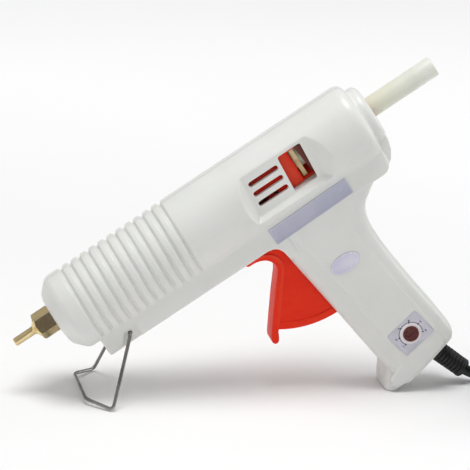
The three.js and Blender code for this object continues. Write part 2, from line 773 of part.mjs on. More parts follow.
// One half of the casing: side is -1 for the half with the window, 1 for the other
function casingHalf(side, outer, hollow) {
  const seam = GAP / 2;
  const split = side < 0
    ? block(NOSE_X - OVER, CAP_END + OVER, -BARREL_R * 2, -seam, TOE_Z * 1.1, BARREL_R + OVER)
    : block(NOSE_X - OVER, CAP_END + OVER, seam, BARREL_R * 2, TOE_Z * 1.1, BARREL_R + OVER);
  const pad = block(
    STAND_X - POCKET_SLANT - OVER,
    STAND_X + POCKET_BACK + OVER,
    side < 0 ? -HALF : HALF - POCKET_DEPTH - POCKET_PAD,
    side < 0 ? POCKET_DEPTH + POCKET_PAD - HALF : HALF,
    KEEL_Z + OVER,
    STAND_Z + POCKET_TOP + OVER,
  );
  let half = join(cut(outer, hollow), pad);
  const ledgeZ = BORE_Z - SHOE_DEPTH - GAP;
  const railOut = Math.sqrt((BARREL_R - WALL / 2) ** 2 - ledgeZ ** 2) - RAIL_T / 2;
  const railTo = side < 0 ? Math.min(railOut, PANEL_Y - WALL / 2) : railOut;
  half = half.add(block(
    RAIL_X,
    RAIL_X + RAIL_LENGTH,
    side < 0 ? -railTo : RAIL_IN,
    side < 0 ? -RAIL_IN : railTo,
    ledgeZ - RAIL_T,
    ledgeZ,
  ));
  const far = HALF - WALL / 2;
  const pivotBoss = side < 0 ? [-far, -PIVOT_BOSS_IN] : [PIVOT_BOSS_IN, far];
  half = half.add(barY(PIVOT_BOSS_R, ...pivotBoss, PIVOT_X, PIVOT_Z));
  for (const place of SCREW_PLACES) {
    half = half.add(barY(POST_R, side < 0 ? -far : 0, side < 0 ? 0 : far, place.x, place.z, SCREW_SIDES));
  }
  half = cut(join(half, ...smallPosts(side)).intersect(split), ...smallHoles(side));
  const headAt = HALF - HEAD_SINK - SCREW_HEAD;
  for (const { x, z } of SCREW_PLACES) {
    const from = side < 0 ? headAt - SCREW_LENGTH - GAP : -OVER;
    half = half.subtract(barY(SCREW_R + GAP, from, HALF * 2, x, z, SCREW_SIDES));
    if (side > 0) {
      half = half.subtract(barY(SCREW_HEAD_R + GAP, headAt - GAP, HALF * 2, x, z, SCREW_SIDES));
    }
  }
  return half;
}

// What is cut out of both halves after they are split
function boreLine(x0, x1, radius) {
  return barX(radius, x0, x1, 0, BORE_Z, SIDES / 2);
}

const bootTurn = THREE.MathUtils.degToRad(BOOT_TURN_DEG);

// A solid of revolution drawn along X is turned down the boot's axis and moved to its root
function alongBoot(geometry) {
  geometry.rotateY(Math.PI / 2 - bootTurn);
  geometry.translate(BOOT_X, 0, BOOT_Z);
  return geometry;
}

function bootTurned(profile, sides = BOOT_SIDES) {
  const lathe = new THREE.LatheGeometry(profile.map(([x, r]) => new THREE.Vector2(r, x)), sides);
  lathe.rotateZ(-Math.PI / 2);
  return solid(alongBoot(lathe));
}

const bootSeat = BOOT_IN - BOOT_FLANGE;

function casingOpenings() {
  const slot = slab([
    [LIP_X - GAP * 3, KEEL_Z + WALL + OVER],
    [LIP_X - GAP * 3, KEEL_Z - OVER],
    [HANDLE_FRONT_X - OVER, KEEL_Z - OVER],
    [HANDLE_FRONT_X - OVER, PIVOT_Z - FAN_R - RUNNING * 2],
    [HANDLE_FRONT_X + HANDLE_FRONT_LEAN, PIVOT_Z - FAN_R - RUNNING * 2],
    [HANDLE_FRONT_X + HANDLE_FRONT_LEAN, KEEL_Z + WALL + OVER],
  ], -TRIGGER_HALF - RUNNING, TRIGGER_HALF + RUNNING);
  return [
    slot,
    boreLine(NOSE_X - OVER, NOSE_X + WALL * 2, CHAMBER_BOSS_R + GAP),
    boreLine(BODY_END - WALL * 2, CAP_END + OVER, COLLAR_R + GAP),
    boreLine(BODY_END - WALL * 2, BODY_END - WALL / 2 + COLLAR_FLANGE, COLLAR_FLANGE_R + GAP),
    barY(PIVOT_PIN_R + GAP, WALL / 2 - HALF, HALF - WALL / 2, PIVOT_X, PIVOT_Z),
    barY(WIRE_R + GAP, -HALF, HALF, STAND_X, STAND_Z, SCREW_SIDES),
    bootTurned([[-BOOT_IN, 0], [-BOOT_IN, BOOT_R + GAP], [BOOT_OUT, BOOT_R + GAP], [BOOT_OUT, 0]]),
    bootTurned([[-BOOT_IN, 0], [-BOOT_IN, BOOT_FLANGE_R + GAP], [-bootSeat + GAP, BOOT_FLANGE_R + GAP], [-bootSeat + GAP, 0]]),
  ];
}

function plateOutline(spare) {
  return roundedPlate(PLATE_W + spare, PLATE_H + spare, PLATE_T * 2, DIAL_X, DIAL_Z, PLATE_TURN);
}

function labelOutline(spare) {
  return roundedPlate(LABEL_W + spare, LABEL_H + spare, LABEL_T * 2, LABEL_X, LABEL_Z, LABEL_TURN);
}

function badgeOutline(spare) {
  const points = [];
  for (let i = 0; i < SMALL_SIDES * 2; i += 1) {
    const turn = (i / SMALL_SIDES) * Math.PI;
    points.push([BADGE_X + (BADGE_W + spare) / 2 * Math.cos(turn), BADGE_Z + (BADGE_H + spare) / 2 * Math.sin(turn)]);
  }
  return points;
}

const springIn = PIVOT_BOSS_R + GAP;
const springFrom = TRIGGER_HALF + GAP * 2;
const springTo = springFrom + SPRING_TURNS_W;
const springRoom = barY(springIn + SPRING_WIRE + GAP, springFrom - GAP, springTo + GAP, PIVOT_X, PIVOT_Z);
const outer = cut(join(barrelForm(), capForm(), keelForm(), handleForm(0).intersect(soleForm(0)), toeForm()), panelCut());
const hollow = join(bodyHollow(), springRoom);
const openings = casingOpenings();

const leftCasing = cut(
  casingHalf(-1, outer, hollow),
  ...openings,
  ...panelHoles(),
  sided(-1, pocketOutline(), HALF - POCKET_DEPTH, HALF + OVER),
  slab(plateOutline(GAP * 2), -HALF - OVER, PLATE_SINK - HALF),
  barY(DIAL_R + GAP, -HALF - OVER, OVER * 2 - HALF, DIAL_X, DIAL_Z, SIDES / 2),
);
const rightCasing = cut(
  casingHalf(1, outer, hollow),
  ...openings,
  sided(1, pocketOutline(), HALF - POCKET_DEPTH, HALF + OVER),
);

// Materials
const surface = (color, roughness, metalness = 0) => ({ color, roughness, metalness });
const whitePlastic = surface(0xe9e8e2, 0.45);
const redPlastic = surface(0xdb3a1c, 0.4);
const redSilicone = surface(0x8e2016, 0.6);
const brass = surface(0xb8964a, 0.35, 0.9);
const aluminium = surface(0xa9abad, 0.45, 0.9);
const steel = surface(0xb9bbbc, 0.3, 0.9);
const zincSteel = surface(0x9fa3a6, 0.4, 0.9);
const ceramic = surface(0xe6e0d2, 0.8);
const phenolic = surface(0x6b4a2c, 0.7);
const glue = surface(0xe8e6dc, 0.35);
const darkRed = surface(0x7d1414, 0.3);
const greenBoard = surface(0x2f6b3c, 0.6);
const blackPlastic = surface(0x17181a, 0.6);
const blackRubber = surface(0x1b1c1e, 0.75);
const lilacPlate = surface(0xc5c4d2, 0.4);
const copper = surface(0xb5673a, 0.4, 0.9);
const redWire = surface(0xa3241c, 0.6);

const tool = new THREE.Group();

function part(name, shape, finish, parent = tool) {
  const geometry = shape.isBufferGeometry ? shape : geometryOf(shape);
  const mesh = new THREE.Mesh(geometry, new THREE.MeshStandardMaterial(finish));
  mesh.name = name;
  parent.add(mesh);
  return mesh;
}

part('left_casing', leftCasing, whitePlastic);
part('right_casing', rightCasing, whitePlastic);

// Screws come in from the far side
SCREW_PLACES.forEach(({ x, z }, i) => {
  const headAt = HALF - HEAD_SINK - SCREW_HEAD;
  const shank = barY(SCREW_R, headAt - SCREW_LENGTH, headAt + OVER / 2, x, z, SCREW_SIDES);
  const head = barY(SCREW_HEAD_R, headAt, headAt + SCREW_HEAD, x, z, SCREW_SIDES);
  const cross = SCREW_HEAD_R * 1.2;
  const slotA = block(x - cross / 2, x + cross / 2, headAt + SCREW_HEAD / 2, HALF, z - SCREW_R / 4, z + SCREW_R / 4);
  const slotB = block(x - SCREW_R / 4, x + SCREW_R / 4, headAt + SCREW_HEAD / 2, HALF, z - cross / 2, z + cross / 2);
  part(`casing_screw_${i + 1}`, cut(join(shank, head), slotA, slotB), zincSteel);
});

// Nozzle with its hexagon, washer and shank
const hexBack = NOSE_X - GAP;
const hexFront = hexBack - HEX_LENGTH;
const tipBack = NOZZLE_TIP + TIP_LENGTH;
const hex = new THREE.CylinderGeometry(HEX_ACROSS / Math.sqrt(3), HEX_ACROSS / Math.sqrt(3), HEX_LENGTH, 6);
hex.rotateY(HEX_TURN);
hex.rotateZ(Math.PI / 2);
hex.translate((hexBack + hexFront) / 2, 0, BORE_Z);
const nozzleTube = turned([
  [NOZZLE_TIP, NOZZLE_BORE],
  [NOZZLE_TIP, TIP_R],
  [tipBack, TIP_R],
  [hexFront - GAP, CONE_R],
  [hexFront + OVER, CONE_R],
  [hexFront + OVER, SHANK_R],
  [hexBack + SHANK_LENGTH, SHANK_R],
  [hexBack + SHANK_LENGTH, NOZZLE_BORE],
  [NOZZLE_TIP, NOZZLE_BORE],
], SIDES / 2).translate([0, 0, BORE_Z]);
part('nozzle', cut(join(solid(hex), nozzleTube), boreLine(NOZZLE_TIP, hexBack + SHANK_LENGTH, NOZZLE_BORE)), brass);
const washer = [hexBack + GAP, hexBack + GAP + WASHER];
part('nozzle_washer', cut(boreLine(...washer, WASHER_R), boreLine(hexBack, washer[1] + OVER, SHANK_R + GAP)), copper);

// Melt chamber, heater plates with their spring clips, and the two heat-proof supports
const bossFront = washer[1] + GAP;
const nippleEnd = CHAMBER_BACK + NIPPLE_LENGTH;
const chamberForm = turned([
  [bossFront, 0],
  [bossFront, CHAMBER_BOSS_R],
  [CHAMBER_FRONT, CHAMBER_BOSS_R],
  [CHAMBER_FRONT, CHAMBER_R],
  [CHAMBER_BACK, CHAMBER_R],
  [CHAMBER_BACK, NIPPLE_R],
  [nippleEnd, NIPPLE_R],
  [nippleEnd, 0],
]).translate([0, 0, BORE_Z]);
const chamberHollow = turned([
  [bossFront - OVER, 0],
  [bossFront - OVER, SHANK_R + GAP],
  [hexBack + SHANK_LENGTH + GAP, SHANK_R + GAP],
  [CHAMBER_BORE_END, CHAMBER_BORE],
  [nippleEnd + OVER, CHAMBER_BORE],
  [nippleEnd + OVER, 0],
], SIDES / 2).translate([0, 0, BORE_Z]);
const heaterFrom = [HEATER_X, HEATER_X + HEATER_LENGTH];
const flats = [1, -1].map((up) => {
  const from = BORE_Z + up * CHAMBER_FLAT;
  const to = BORE_Z + up * CHAMBER_R * 2;
  return block(heaterFrom[0] - GAP, heaterFrom[1] + GAP, -CHAMBER_R, CHAMBER_R, Math.min(from, to), Math.max(from, to));
});
part('melt_chamber', cut(chamberForm, chamberHollow, ...flats), aluminium);
[['upper', 1], ['lower', -1]].forEach(([where, up]) => {
  const near = BORE_Z + up * (CHAMBER_FLAT + GAP);
  const far = near + up * HEATER_T;
  part(`heater_plate_${where}`, block(...heaterFrom, -HEATER_W / 2, HEATER_W / 2, Math.min(near, far), Math.max(near, far)), ceramic);
});
const clipIn = Math.hypot(CHAMBER_FLAT + GAP + HEATER_T, HEATER_W / 2) + GAP;
const clipPlaces = [heaterFrom[0] + CLIP_INSET, heaterFrom[1] - CLIP_INSET - CLIP_W];
clipPlaces.forEach((x, i) => {
  const ring = cut(boreLine(x, x + CLIP_W, clipIn + CLIP_T), boreLine(x - OVER, x + CLIP_W + OVER, clipIn));
  part(`heater_clip_${i + 1}`, ring, steel);
});
const bodyInner = BARREL_R - WALL - GROOVE_DEPTH / 2;
[['front', SUPPORT_FRONT], ['rear', SUPPORT_BACK]].forEach(([where, x]) => {
  const disc = barX(bodyInner - GAP, x, x + SUPPORT_T, 0, 0, SIDES);
  const bottomZ = BORE_Z - CHAMBER_R - SUPPORT_T;
  const bottom = block(x - OVER, x + SUPPORT_T + OVER, -BARREL_R, BARREL_R, -BARREL_R * 2, bottomZ);
  part(`chamber_support_${where}`, cut(disc, bottom, boreLine(x - OVER, x + SUPPORT_T + OVER, CHAMBER_R + GAP)), phenolic);
});

// Silicone sleeve over the chamber's nipple, held by a clamp ring
const sleeveStart = CHAMBER_BACK + GAP;
const sleeveStep = nippleEnd + GAP;
const sleeveWide = NIPPLE_R + GAP;
const sleeveTight = STICK_R + RUNNING;
part('stick_sleeve', turned([
  [sleeveStart, sleeveWide],
  [sleeveStart, sleeveWide + SLEEVE_WALL],
  [sleeveStep, sleeveWide + SLEEVE_WALL],
  [sleeveStep + SLEEVE_WALL * 2, sleeveTight + SLEEVE_WALL],
  [SLEEVE_END, sleeveTight + SLEEVE_WALL],
  [SLEEVE_END, sleeveTight],
  [sleeveStep, sleeveTight],
  [sleeveStep, sleeveWide],
  [sleeveStart, sleeveWide],
], SIDES / 2).translate([0, 0, BORE_Z]), redSilicone);
const clampX = (sleeveStart + sleeveStep - CLAMP_W) / 2;
const clampIn = sleeveWide + SLEEVE_WALL + GAP;
part('sleeve_clamp', cut(
  boreLine(clampX, clampX + CLAMP_W, clampIn + CLAMP_T),
  boreLine(clampX - OVER, clampX + CLAMP_W + OVER, clampIn),
), steel);

// Trigger: finger bar and fan on a hub, with a forked arm above the pivot
const halfPull = THREE.MathUtils.degToRad(PULL_DEG / 2);
const armZ = BORE_Z - LINK_DROP;
const armLength = (armZ - PIVOT_Z) / Math.cos(halfPull);
const armX = PIVOT_X + armLength * Math.sin(halfPull);

function fanPoint(radius, degrees) {
  const turn = THREE.MathUtils.degToRad(degrees);
  return [PIVOT_X + radius * Math.sin(turn), PIVOT_Z - radius * Math.cos(turn)];
}

function triggerShape() {
  const barDeg = -THREE.MathUtils.radToDeg(Math.atan2(PIVOT_X - BAR_FOOT_X - BAR_W, PIVOT_Z - BAR_FOOT_Z));
  const along = new THREE.Vector2(BAR_FOOT_X - BAR_TOP_X, BAR_FOOT_Z - BAR_TOP_Z).normalize();
  const side = new THREE.Vector2(-along.y, along.x).multiplyScalar(BAR_W);
  const arc = [];
  const steps = 8;
  const start = barDeg + THREE.MathUtils.radToDeg(BAR_W / 2 / FAN_R);
  for (let i = 0; i <= steps; i += 1) arc.push(fanPoint(FAN_R, start + (FAN_BACK_DEG - start) * (i / steps)));
  return [
    [LIP_X, LIP_Z],
    [LIP_X + LIP_T, LIP_Z - LIP_T],
    [BAR_TOP_X - LIP_T * 2, LIP_Z - LIP_T * 1.6],
    [BAR_TOP_X + LIP_T, LIP_Z - LIP_T * 4],
    [BAR_TOP_X, BAR_TOP_Z],
    [BAR_FOOT_X, BAR_FOOT_Z],
    [BAR_FOOT_X + along.x * LIP_T, BAR_FOOT_Z + along.y * LIP_T * 2],
    [BAR_FOOT_X + along.x * LIP_T + side.x * 0.5, BAR_FOOT_Z + along.y * LIP_T * 3 + side.y * 0.5],
    [BAR_FOOT_X + side.x, BAR_FOOT_Z + side.y + along.y * LIP_T],
    ...arc,
    fanPoint(HUB_R, FAN_BACK_DEG + 40),
    [PIVOT_X + HUB_R, PIVOT_Z + HUB_R / 2],
    [PIVOT_X - HUB_R / 2, PIVOT_Z + HUB_R * 0.8],
    [PIVOT_X - HUB_R * 2, LIP_Z],
  ];
}

const armDirection = new THREE.Vector2(armX - PIVOT_X, armZ - PIVOT_Z).normalize();
const armSide = new THREE.Vector2(-armDirection.y, armDirection.x).multiplyScalar(EYE_R);
const arm = slab([
  [PIVOT_X - armSide.x, PIVOT_Z - armSide.y],
  [armX - armSide.x, armZ - armSide.y],
  [armX + armSide.x, armZ + armSide.y],
  [PIVOT_X + armSide.x, PIVOT_Z + armSide.y],
], -ARM_HALF, ARM_HALF);
const forkDepth = HUB_R + ARM_FORK / 2;
const fork = slab([
  [PIVOT_X + armDirection.x * forkDepth - armSide.x * 2, PIVOT_Z + armDirection.y * forkDepth - armSide.y * 2],
  [PIVOT_X + armDirection.x * forkDepth + armSide.x * 2, PIVOT_Z + armDirection.y * forkDepth + armSide.y * 2],
  [armX + armDirection.x * EYE_R * 2 + armSide.x * 2, armZ + armDirection.y * EYE_R * 2 + armSide.y * 2],
  [armX + armDirection.x * EYE_R * 2 - armSide.x * 2, armZ + armDirection.y * EYE_R * 2 - armSide.y * 2],
], -ARM_FORK / 2, ARM_FORK / 2);
part('trigger', cut(
  join(
    slab(triggerShape(), -TRIGGER_HALF, TRIGGER_HALF, TRIGGER_EDGE),
    barY(HUB_R, -TRIGGER_HALF, TRIGGER_HALF, PIVOT_X, PIVOT_Z, SIDES / 2),
    arm,
    barY(EYE_R, -ARM_HALF, ARM_HALF, armX, armZ, SMALL_SIDES),
  ),
  fork,
  barY(PIVOT_PIN_R + GAP, -TRIGGER_HALF - OVER, TRIGGER_HALF + OVER, PIVOT_X, PIVOT_Z),
  barY(PIN_R + GAP, -TRIGGER_HALF - OVER, TRIGGER_HALF + OVER, armX, armZ),
), redPlastic);
const pivotEnd = HALF - WALL / 2 - GAP;
part('trigger_pin', barY(PIVOT_PIN_R, -pivotEnd, pivotEnd, PIVOT_X, PIVOT_Z), steel);
part('arm_pin', barY(PIN_R, -ARM_HALF, ARM_HALF, armX, armZ), steel);

// Return spring round the far pivot boss, one leg resting on the casing
part('return_spring', cut(
  join(
    barY(springIn + SPRING_WIRE, springFrom, springTo, PIVOT_X, PIVOT_Z, SIDES / 2),
    block(
      PIVOT_X + springIn,
      PIVOT_X + springIn + SPRING_WIRE,
      springTo - SPRING_WIRE,
      springTo,
      PIVOT_Z,
      PIVOT_Z + SPRING_LEG,
    ),
  ),
  barY(springIn, springFrom - OVER, springTo + OVER, PIVOT_X, PIVOT_Z, SIDES / 2),
), steel);

// Link from the arm to the carriage; its rear eye has the play that opens the closed linkage
const lugX = armX + LINK_LENGTH;
const link = join(
  block(armX, lugX, -LINK_T / 2, LINK_T / 2, armZ - EYE_R / 2, armZ + EYE_R / 2),
  barY(EYE_R, -LINK_T / 2, LINK_T / 2, armX, armZ),
  barY(EYE_R, -LINK_T / 2, LINK_T / 2, lugX, armZ),
);
part('drive_link', cut(
  link,
  barY(PIN_R + GAP, -LINK_T, LINK_T, armX, armZ),
  barY(PIN_R + GAP + LINK_SLACK, -LINK_T, LINK_T, lugX, armZ),
), steel);

// Feed carriage: a sleeve round the stick, cut flat over the arm, with shoes on the casing's rails and a
// forked lug below
const carriageEnd = CARRIAGE_X + CARRIAGE_LENGTH;
const gripPinX = carriageEnd + GAP * 2 + GRIP_T / 2;
const gripPinZ = BORE_Z + GRIP_PIN_UP;
const sledX = CARRIAGE_X - SLED_LENGTH;
const shoeOut = CARRIAGE_R;
const lugs = [-1, 1].map((side) => {
  const from = ARM_FORK / 2 * side;
  const to = ARM_HALF * side;
  return block(lugX - LUG_W / 2, lugX + LUG_W / 2, Math.min(from, to), Math.max(from, to), armZ - EYE_R, BORE_Z - STICK_R);
});
const shoes = [-1, 1].map((side) => block(
  CARRIAGE_X,
  carriageEnd,
  side < 0 ? -shoeOut : ARM_HALF,
  side < 0 ? -ARM_HALF : shoeOut,
  BORE_Z - SHOE_DEPTH,
  BORE_Z - SHOE_DEPTH + SHOE_T * 2,
));
const ears = [-1, 1].map((side) => {
  const from = side * (GRIP_HALF + GAP);
  const to = from + side * EAR_T;
  return block(
    carriageEnd - EAR_REACH * 2,
    gripPinX + EAR_REACH / 2,
    Math.min(from, to),
    Math.max(from, to),
    BORE_Z + CARRIAGE_R / 3,
    gripPinZ + EAR_REACH / 2,
  );
});
const linkRoom = EYE_R + LINK_SLACK + GAP * 2;
const armTop = PIVOT_Z + armLength + EYE_R;
part('feed_carriage', cut(
  join(barX(CARRIAGE_R, sledX, carriageEnd, 0, BORE_Z, SIDES / 2), ...shoes, ...lugs, ...ears),
  boreLine(sledX - OVER, carriageEnd + OVER, STICK_R + RUNNING),
  block(sledX - OVER, armX + EYE_R + GAP * 2, -CARRIAGE_R, CARRIAGE_R, BORE_Z - CARRIAGE_R * 2, armTop + GAP * 2),
  block(CARRIAGE_X - OVER, lugX + linkRoom, -ARM_FORK / 2, ARM_FORK / 2, armZ - linkRoom, armZ + linkRoom),
  barY(PIN_R + GAP, -CARRIAGE_R * 2, CARRIAGE_R * 2, lugX, armZ),
  barY(GRIP_PIN_R + GAP, -CARRIAGE_R * 2, CARRIAGE_R * 2, gripPinX, gripPinZ, SCREW_SIDES),
), redPlastic);
part('carriage_pin', barY(PIN_R, -ARM_HALF, ARM_HALF, lugX, armZ), steel);
const earOut = GRIP_HALF + GAP + EAR_T;
part('grip_pin', barY(GRIP_PIN_R, -earOut, earOut, gripPinX, gripPinZ, SCREW_SIDES), steel);
part('grip_plate', cut(
  join(
    block(
      gripPinX - GRIP_T / 2,
      gripPinX + GRIP_T / 2,
      -GRIP_HALF,
      GRIP_HALF,
      BORE_Z - GRIP_LOW,
      gripPinZ,
    ),
    barY(GRIP_EYE_R, -GRIP_HALF, GRIP_HALF, gripPinX, gripPinZ),
  ),
  boreLine(carriageEnd, carriageEnd + GRIP_T * 3, GRIP_BORE),
  barY(GRIP_PIN_R + GAP, -CARRIAGE_R * 2, CARRIAGE_R * 2, gripPinX, gripPinZ, SCREW_SIDES),
), brass);

// Rear collar and the stick
const collarStart = BODY_END - WALL - COLLAR_FLANGE + GAP;
part('stick_collar', cut(
  join(
    boreLine(collarStart, collarStart + COLLAR_FLANGE, COLLAR_FLANGE_R),
    boreLine(collarStart, collarStart + COLLAR_LENGTH + GAP, COLLAR_R),
  ),
  boreLine(collarStart - OVER, CAP_END + OVER, STICK_R + RUNNING),
), whitePlastic);
part('glue_stick', boreLine(STICK_START, STICK_END, STICK_R), glue);

part('wire_stand', wireForm, steel);

// Heat dial, its plate and the potentiometer behind the wall
const dialFace = -HALF - DIAL_RISE;
const dialBack = WALL / 2 - HALF;
const inner = WALL - HALF;
part('heat_dial', cut(
  join(
    barY(DIAL_R, dialFace, dialBack, DIAL_X, DIAL_Z, SIDES / 2),
    barY(SHAFT_R, dialFace + DIAL_RISE, inner, DIAL_X, DIAL_Z),
  ),
  block(DIAL_X - DIAL_R, DIAL_X + DIAL_R, dialFace - OVER, dialFace + DIAL_SLOT, DIAL_Z - DIAL_SLOT / 2, DIAL_Z + DIAL_SLOT / 2),
), darkRed);
const plateBack = PLATE_SINK - LABEL_SEAT - HALF;
part('dial_plate', cut(
  slab(plateOutline(0), plateBack - PLATE_T, plateBack),
  barY(DIAL_R + GAP, plateBack - PLATE_T - OVER, plateBack + OVER, DIAL_X, DIAL_Z, SIDES / 2),
), lilacPlate);
part('potentiometer', join(
  barY(POT_R, inner + GAP, inner + GAP + POT_T, DIAL_X, DIAL_Z, SIDES / 2),
  block(DIAL_X - POT_R, DIAL_X + POT_R, inner + POT_T - BOARD_T, inner + POT_T, DIAL_Z, DIAL_Z + POT_R * 1.25),
), blackPlastic);

// Bare plates where the real tool has its printed labels
part('side_label', slab(labelOutline(0), -HALF - LABEL_SEAT - LABEL_T, -HALF - LABEL_SEAT), lilacPlate);
part('handle_badge', slab(badgeOutline(0), -HALF - LABEL_SEAT - LABEL_T, -HALF - LABEL_SEAT), lilacPlate);

// Control board with what stands on it
part('control_board', cut(
  block(BOARD_X, BOARD_X + BOARD_W, BOARD_Y, boardFace, BOARD_Z, BOARD_Z + BOARD_H),
  ...boardScrews.map(({ x, z }) => barY(BOARD_SCREW_R + GAP, BOARD_Y - OVER, boardFace + OVER, x, z, SCREW_SIDES)),
), greenBoard);
boardScrews.forEach(({ x, z }, i) => {
  const head = barY(BOARD_SCREW_R * 2, BOARD_Y - GAP - BOARD_SCREW_R, BOARD_Y - GAP, x, z, SCREW_SIDES);
  const shank = barY(BOARD_SCREW_R, BOARD_Y - GAP * 2, HALF - WALL - GAP, x, z, SCREW_SIDES);
  part(`board_screw_${i + 1}`, join(head, shank), zincSteel);
});
const partsFace = BOARD_Y - GAP;
const triacX = BOARD_X + BOARD_W * 0.66;
const triacZ = BOARD_Z + BOARD_H * 0.62;
part('triac', block(
  triacX - TRIAC_W / 2,
  triacX + TRIAC_W / 2,
  partsFace - TRIAC_W * 0.45,
  partsFace,
  triacZ - TRIAC_W / 2,
  triacZ + TRIAC_W / 2,
), blackPlastic);
part('capacitor', barY(CAPACITOR_R, partsFace - CAPACITOR_H, partsFace, BOARD_X + BOARD_W * 0.2, BOARD_Z + BOARD_H * 0.62), redSilicone);

// Two leads from the board up past the feed to the heater plates
const leadY = TRIGGER_HALF + RUNNING * 2 + LEAD_R * 1.6;
[-1, 1].forEach((way, i) => {
  const x = BOARD_X + BOARD_W * 0.46 + way * LEAD_R * 2;
  const z = KEEL_Z + WALL * 6 + way * LEAD_R * 1.5;
  const plateZ = BORE_Z - CHAMBER_FLAT - GAP - HEATER_T;
  const across = way * LEAD_R * 2;
  const under = BORE_Z - CHAMBER_R - SUPPORT_T - LEAD_R * 2;
  const points = [
    new THREE.Vector3(x, leadY, BOARD_Z + BOARD_H + GAP * 2),
    new THREE.Vector3(x, leadY, PIVOT_Z - FAN_R * 0.6),
    new THREE.Vector3(x, leadY, PIVOT_Z - HUB_R),
    new THREE.Vector3(x - HUB_R, leadY, z),
    new THREE.Vector3(PIVOT_X - armLength, leadY, z),
    new THREE.Vector3(CHAMBER_BACK + HUB_R * 3, leadY, z),
    new THREE.Vector3(CHAMBER_BACK + LEAD_R, leadY / 2 + across, under + way * LEAD_R / 2),
    new THREE.Vector3(SUPPORT_BACK - LEAD_R, across, under),
    new THREE.Vector3(heaterFrom[1] - LEAD_R, across, plateZ - LEAD_R * 3.4),
    new THREE.Vector3(heaterFrom[1] - LEAD_R * 2.4, across, plateZ - LEAD_R * 1.6),
    new THREE.Vector3(heaterFrom[1] - LEAD_R * 2.5, across, plateZ - GAP),
  ];
  part(`heater_lead_${i + 1}`, tube(new THREE.CatmullRomCurve3(points, false, 'centripetal'), LEAD_R, 28, 6), redWire);
});

// Strain relief with its ribs, the lead inside the handle and the bar that clamps it
const bootProfile = [[-BOOT_IN, CORD_R + GAP], [-BOOT_IN, BOOT_FLANGE_R], [-bootSeat, BOOT_FLANGE_R], [-bootSeat, BOOT_R]];
for (let i = 0; i < BOOT_RIBS; i += 1) {
  const pitch = BOOT_OUT / (BOOT_RIBS + 0.5);
  const x = (i + 0.6) * pitch;
  const r = BOOT_R + (BOOT_END_R - BOOT_R) * (x / BOOT_OUT);
  bootProfile.push([x, r], [x + pitch * 0.2, r - BOOT_RIB], [x + pitch * 0.4, r - BOOT_RIB], [x + pitch * 0.6, r]);
}
bootProfile.push([BOOT_OUT, BOOT_END_R], [BOOT_OUT, CORD_R + GAP], [-BOOT_IN, CORD_R + GAP]);
part('strain_relief', bootTurned(bootProfile), blackRubber);
const bootWay = new THREE.Vector3(Math.sin(bootTurn), 0, -Math.cos(bootTurn));
const bootRoot = new THREE.Vector3(BOOT_X, 0, BOOT_Z);
const alongAxis = (distance) => bootWay.clone().multiplyScalar(distance).add(bootRoot);
const coreFrom = CLAMP_UP * 1.7;
part('inner_lead', tube(new THREE.CatmullRomCurve3([alongAxis(BOOT_OUT - GAP), alongAxis(-coreFrom)]), CORD_R, 2, SCREW_SIDES), blackPlastic);
[-1, 1].forEach((way, i) => {
  const aside = new THREE.Vector3(0, way * LEAD_R * 1.4, 0);
  const start = alongAxis(-coreFrom - GAP).add(aside);
  const leave = alongAxis(-coreFrom - GAP - LEAD_R * 2).add(aside);
  const end = new THREE.Vector3(BOARD_X + BOARD_W * 0.36 + way * LEAD_R * 1.5, BOARD_Y - GAP * 2, BOARD_Z + BOARD_H * 0.3);
  const middle = leave.clone().lerp(end, 0.5).add(new THREE.Vector3(0, 0, LEAD_R + way * LEAD_R));
  part(`mains_core_${i + 1}`, tube(new THREE.CatmullRomCurve3([start, leave, middle, end]), LEAD_R, 10, 6), way < 0 ? surface(0x6b3a20, 0.6) : surface(0x2f4f9a, 0.6));
});
const clampForm = block(
  clampAt.x - CLAMP_BAR_W / 2,
  clampAt.x + CLAMP_BAR_W / 2,
  GAP,
  CORD_R + GAP + CLAMP_BAR_T,
  clampAt.z - CLAMP_BAR_H / 2,
  clampAt.z + CLAMP_BAR_H / 2,
);
part('cord_clamp', cut(
  clampForm,
  bootTurned([[-coreFrom, 0], [-coreFrom, CORD_R + GAP], [0, CORD_R + GAP], [0, 0]]),
  ...clampScrews.map(({ x, z }) => barY(CLAMP_SCREW_R + GAP, -OVER, HALF, x, z, SCREW_SIDES)),
), whitePlastic);
clampScrews.forEach(({ x, z }, i) => {
  const top = CORD_R + GAP * 2 + CLAMP_BAR_T;
  const head = barY(CLAMP_SCREW_R * 2, top, top + CLAMP_SCREW_R, x, z, SCREW_SIDES);
  const shank = barY(CLAMP_SCREW_R, WALL * 2 - HALF, top + GAP, x, z, SCREW_SIDES);
  part(`clamp_screw_${i + 1}`, join(head, shank), zincSteel);
});

// The tool is tipped, then the free lead, its coil and the plug are laid on the same floor
tool.rotation.y = -TILT;
tool.updateMatrixWorld(true);
const floor = toeFront[0] * Math.sin(TILT) + toeFront[1] * Math.cos(TILT);
const mouth = alongAxis(BOOT_OUT).applyMatrix4(tool.matrixWorld);
const onFloor = new THREE.Group();
onFloor.position.set(mouth.x, 0, floor);
const whole = new THREE.Group();
whole.add(tool, onFloor);

const leadPath = new THREE.CatmullRomCurve3(LEAD_ROUTE.map((p) => new THREE.Vector3(...p)), false, 'centripetal');
part('cord_lead', tube(leadPath, CORD_R, 20, TINY_SIDES), blackRubber, onFloor);

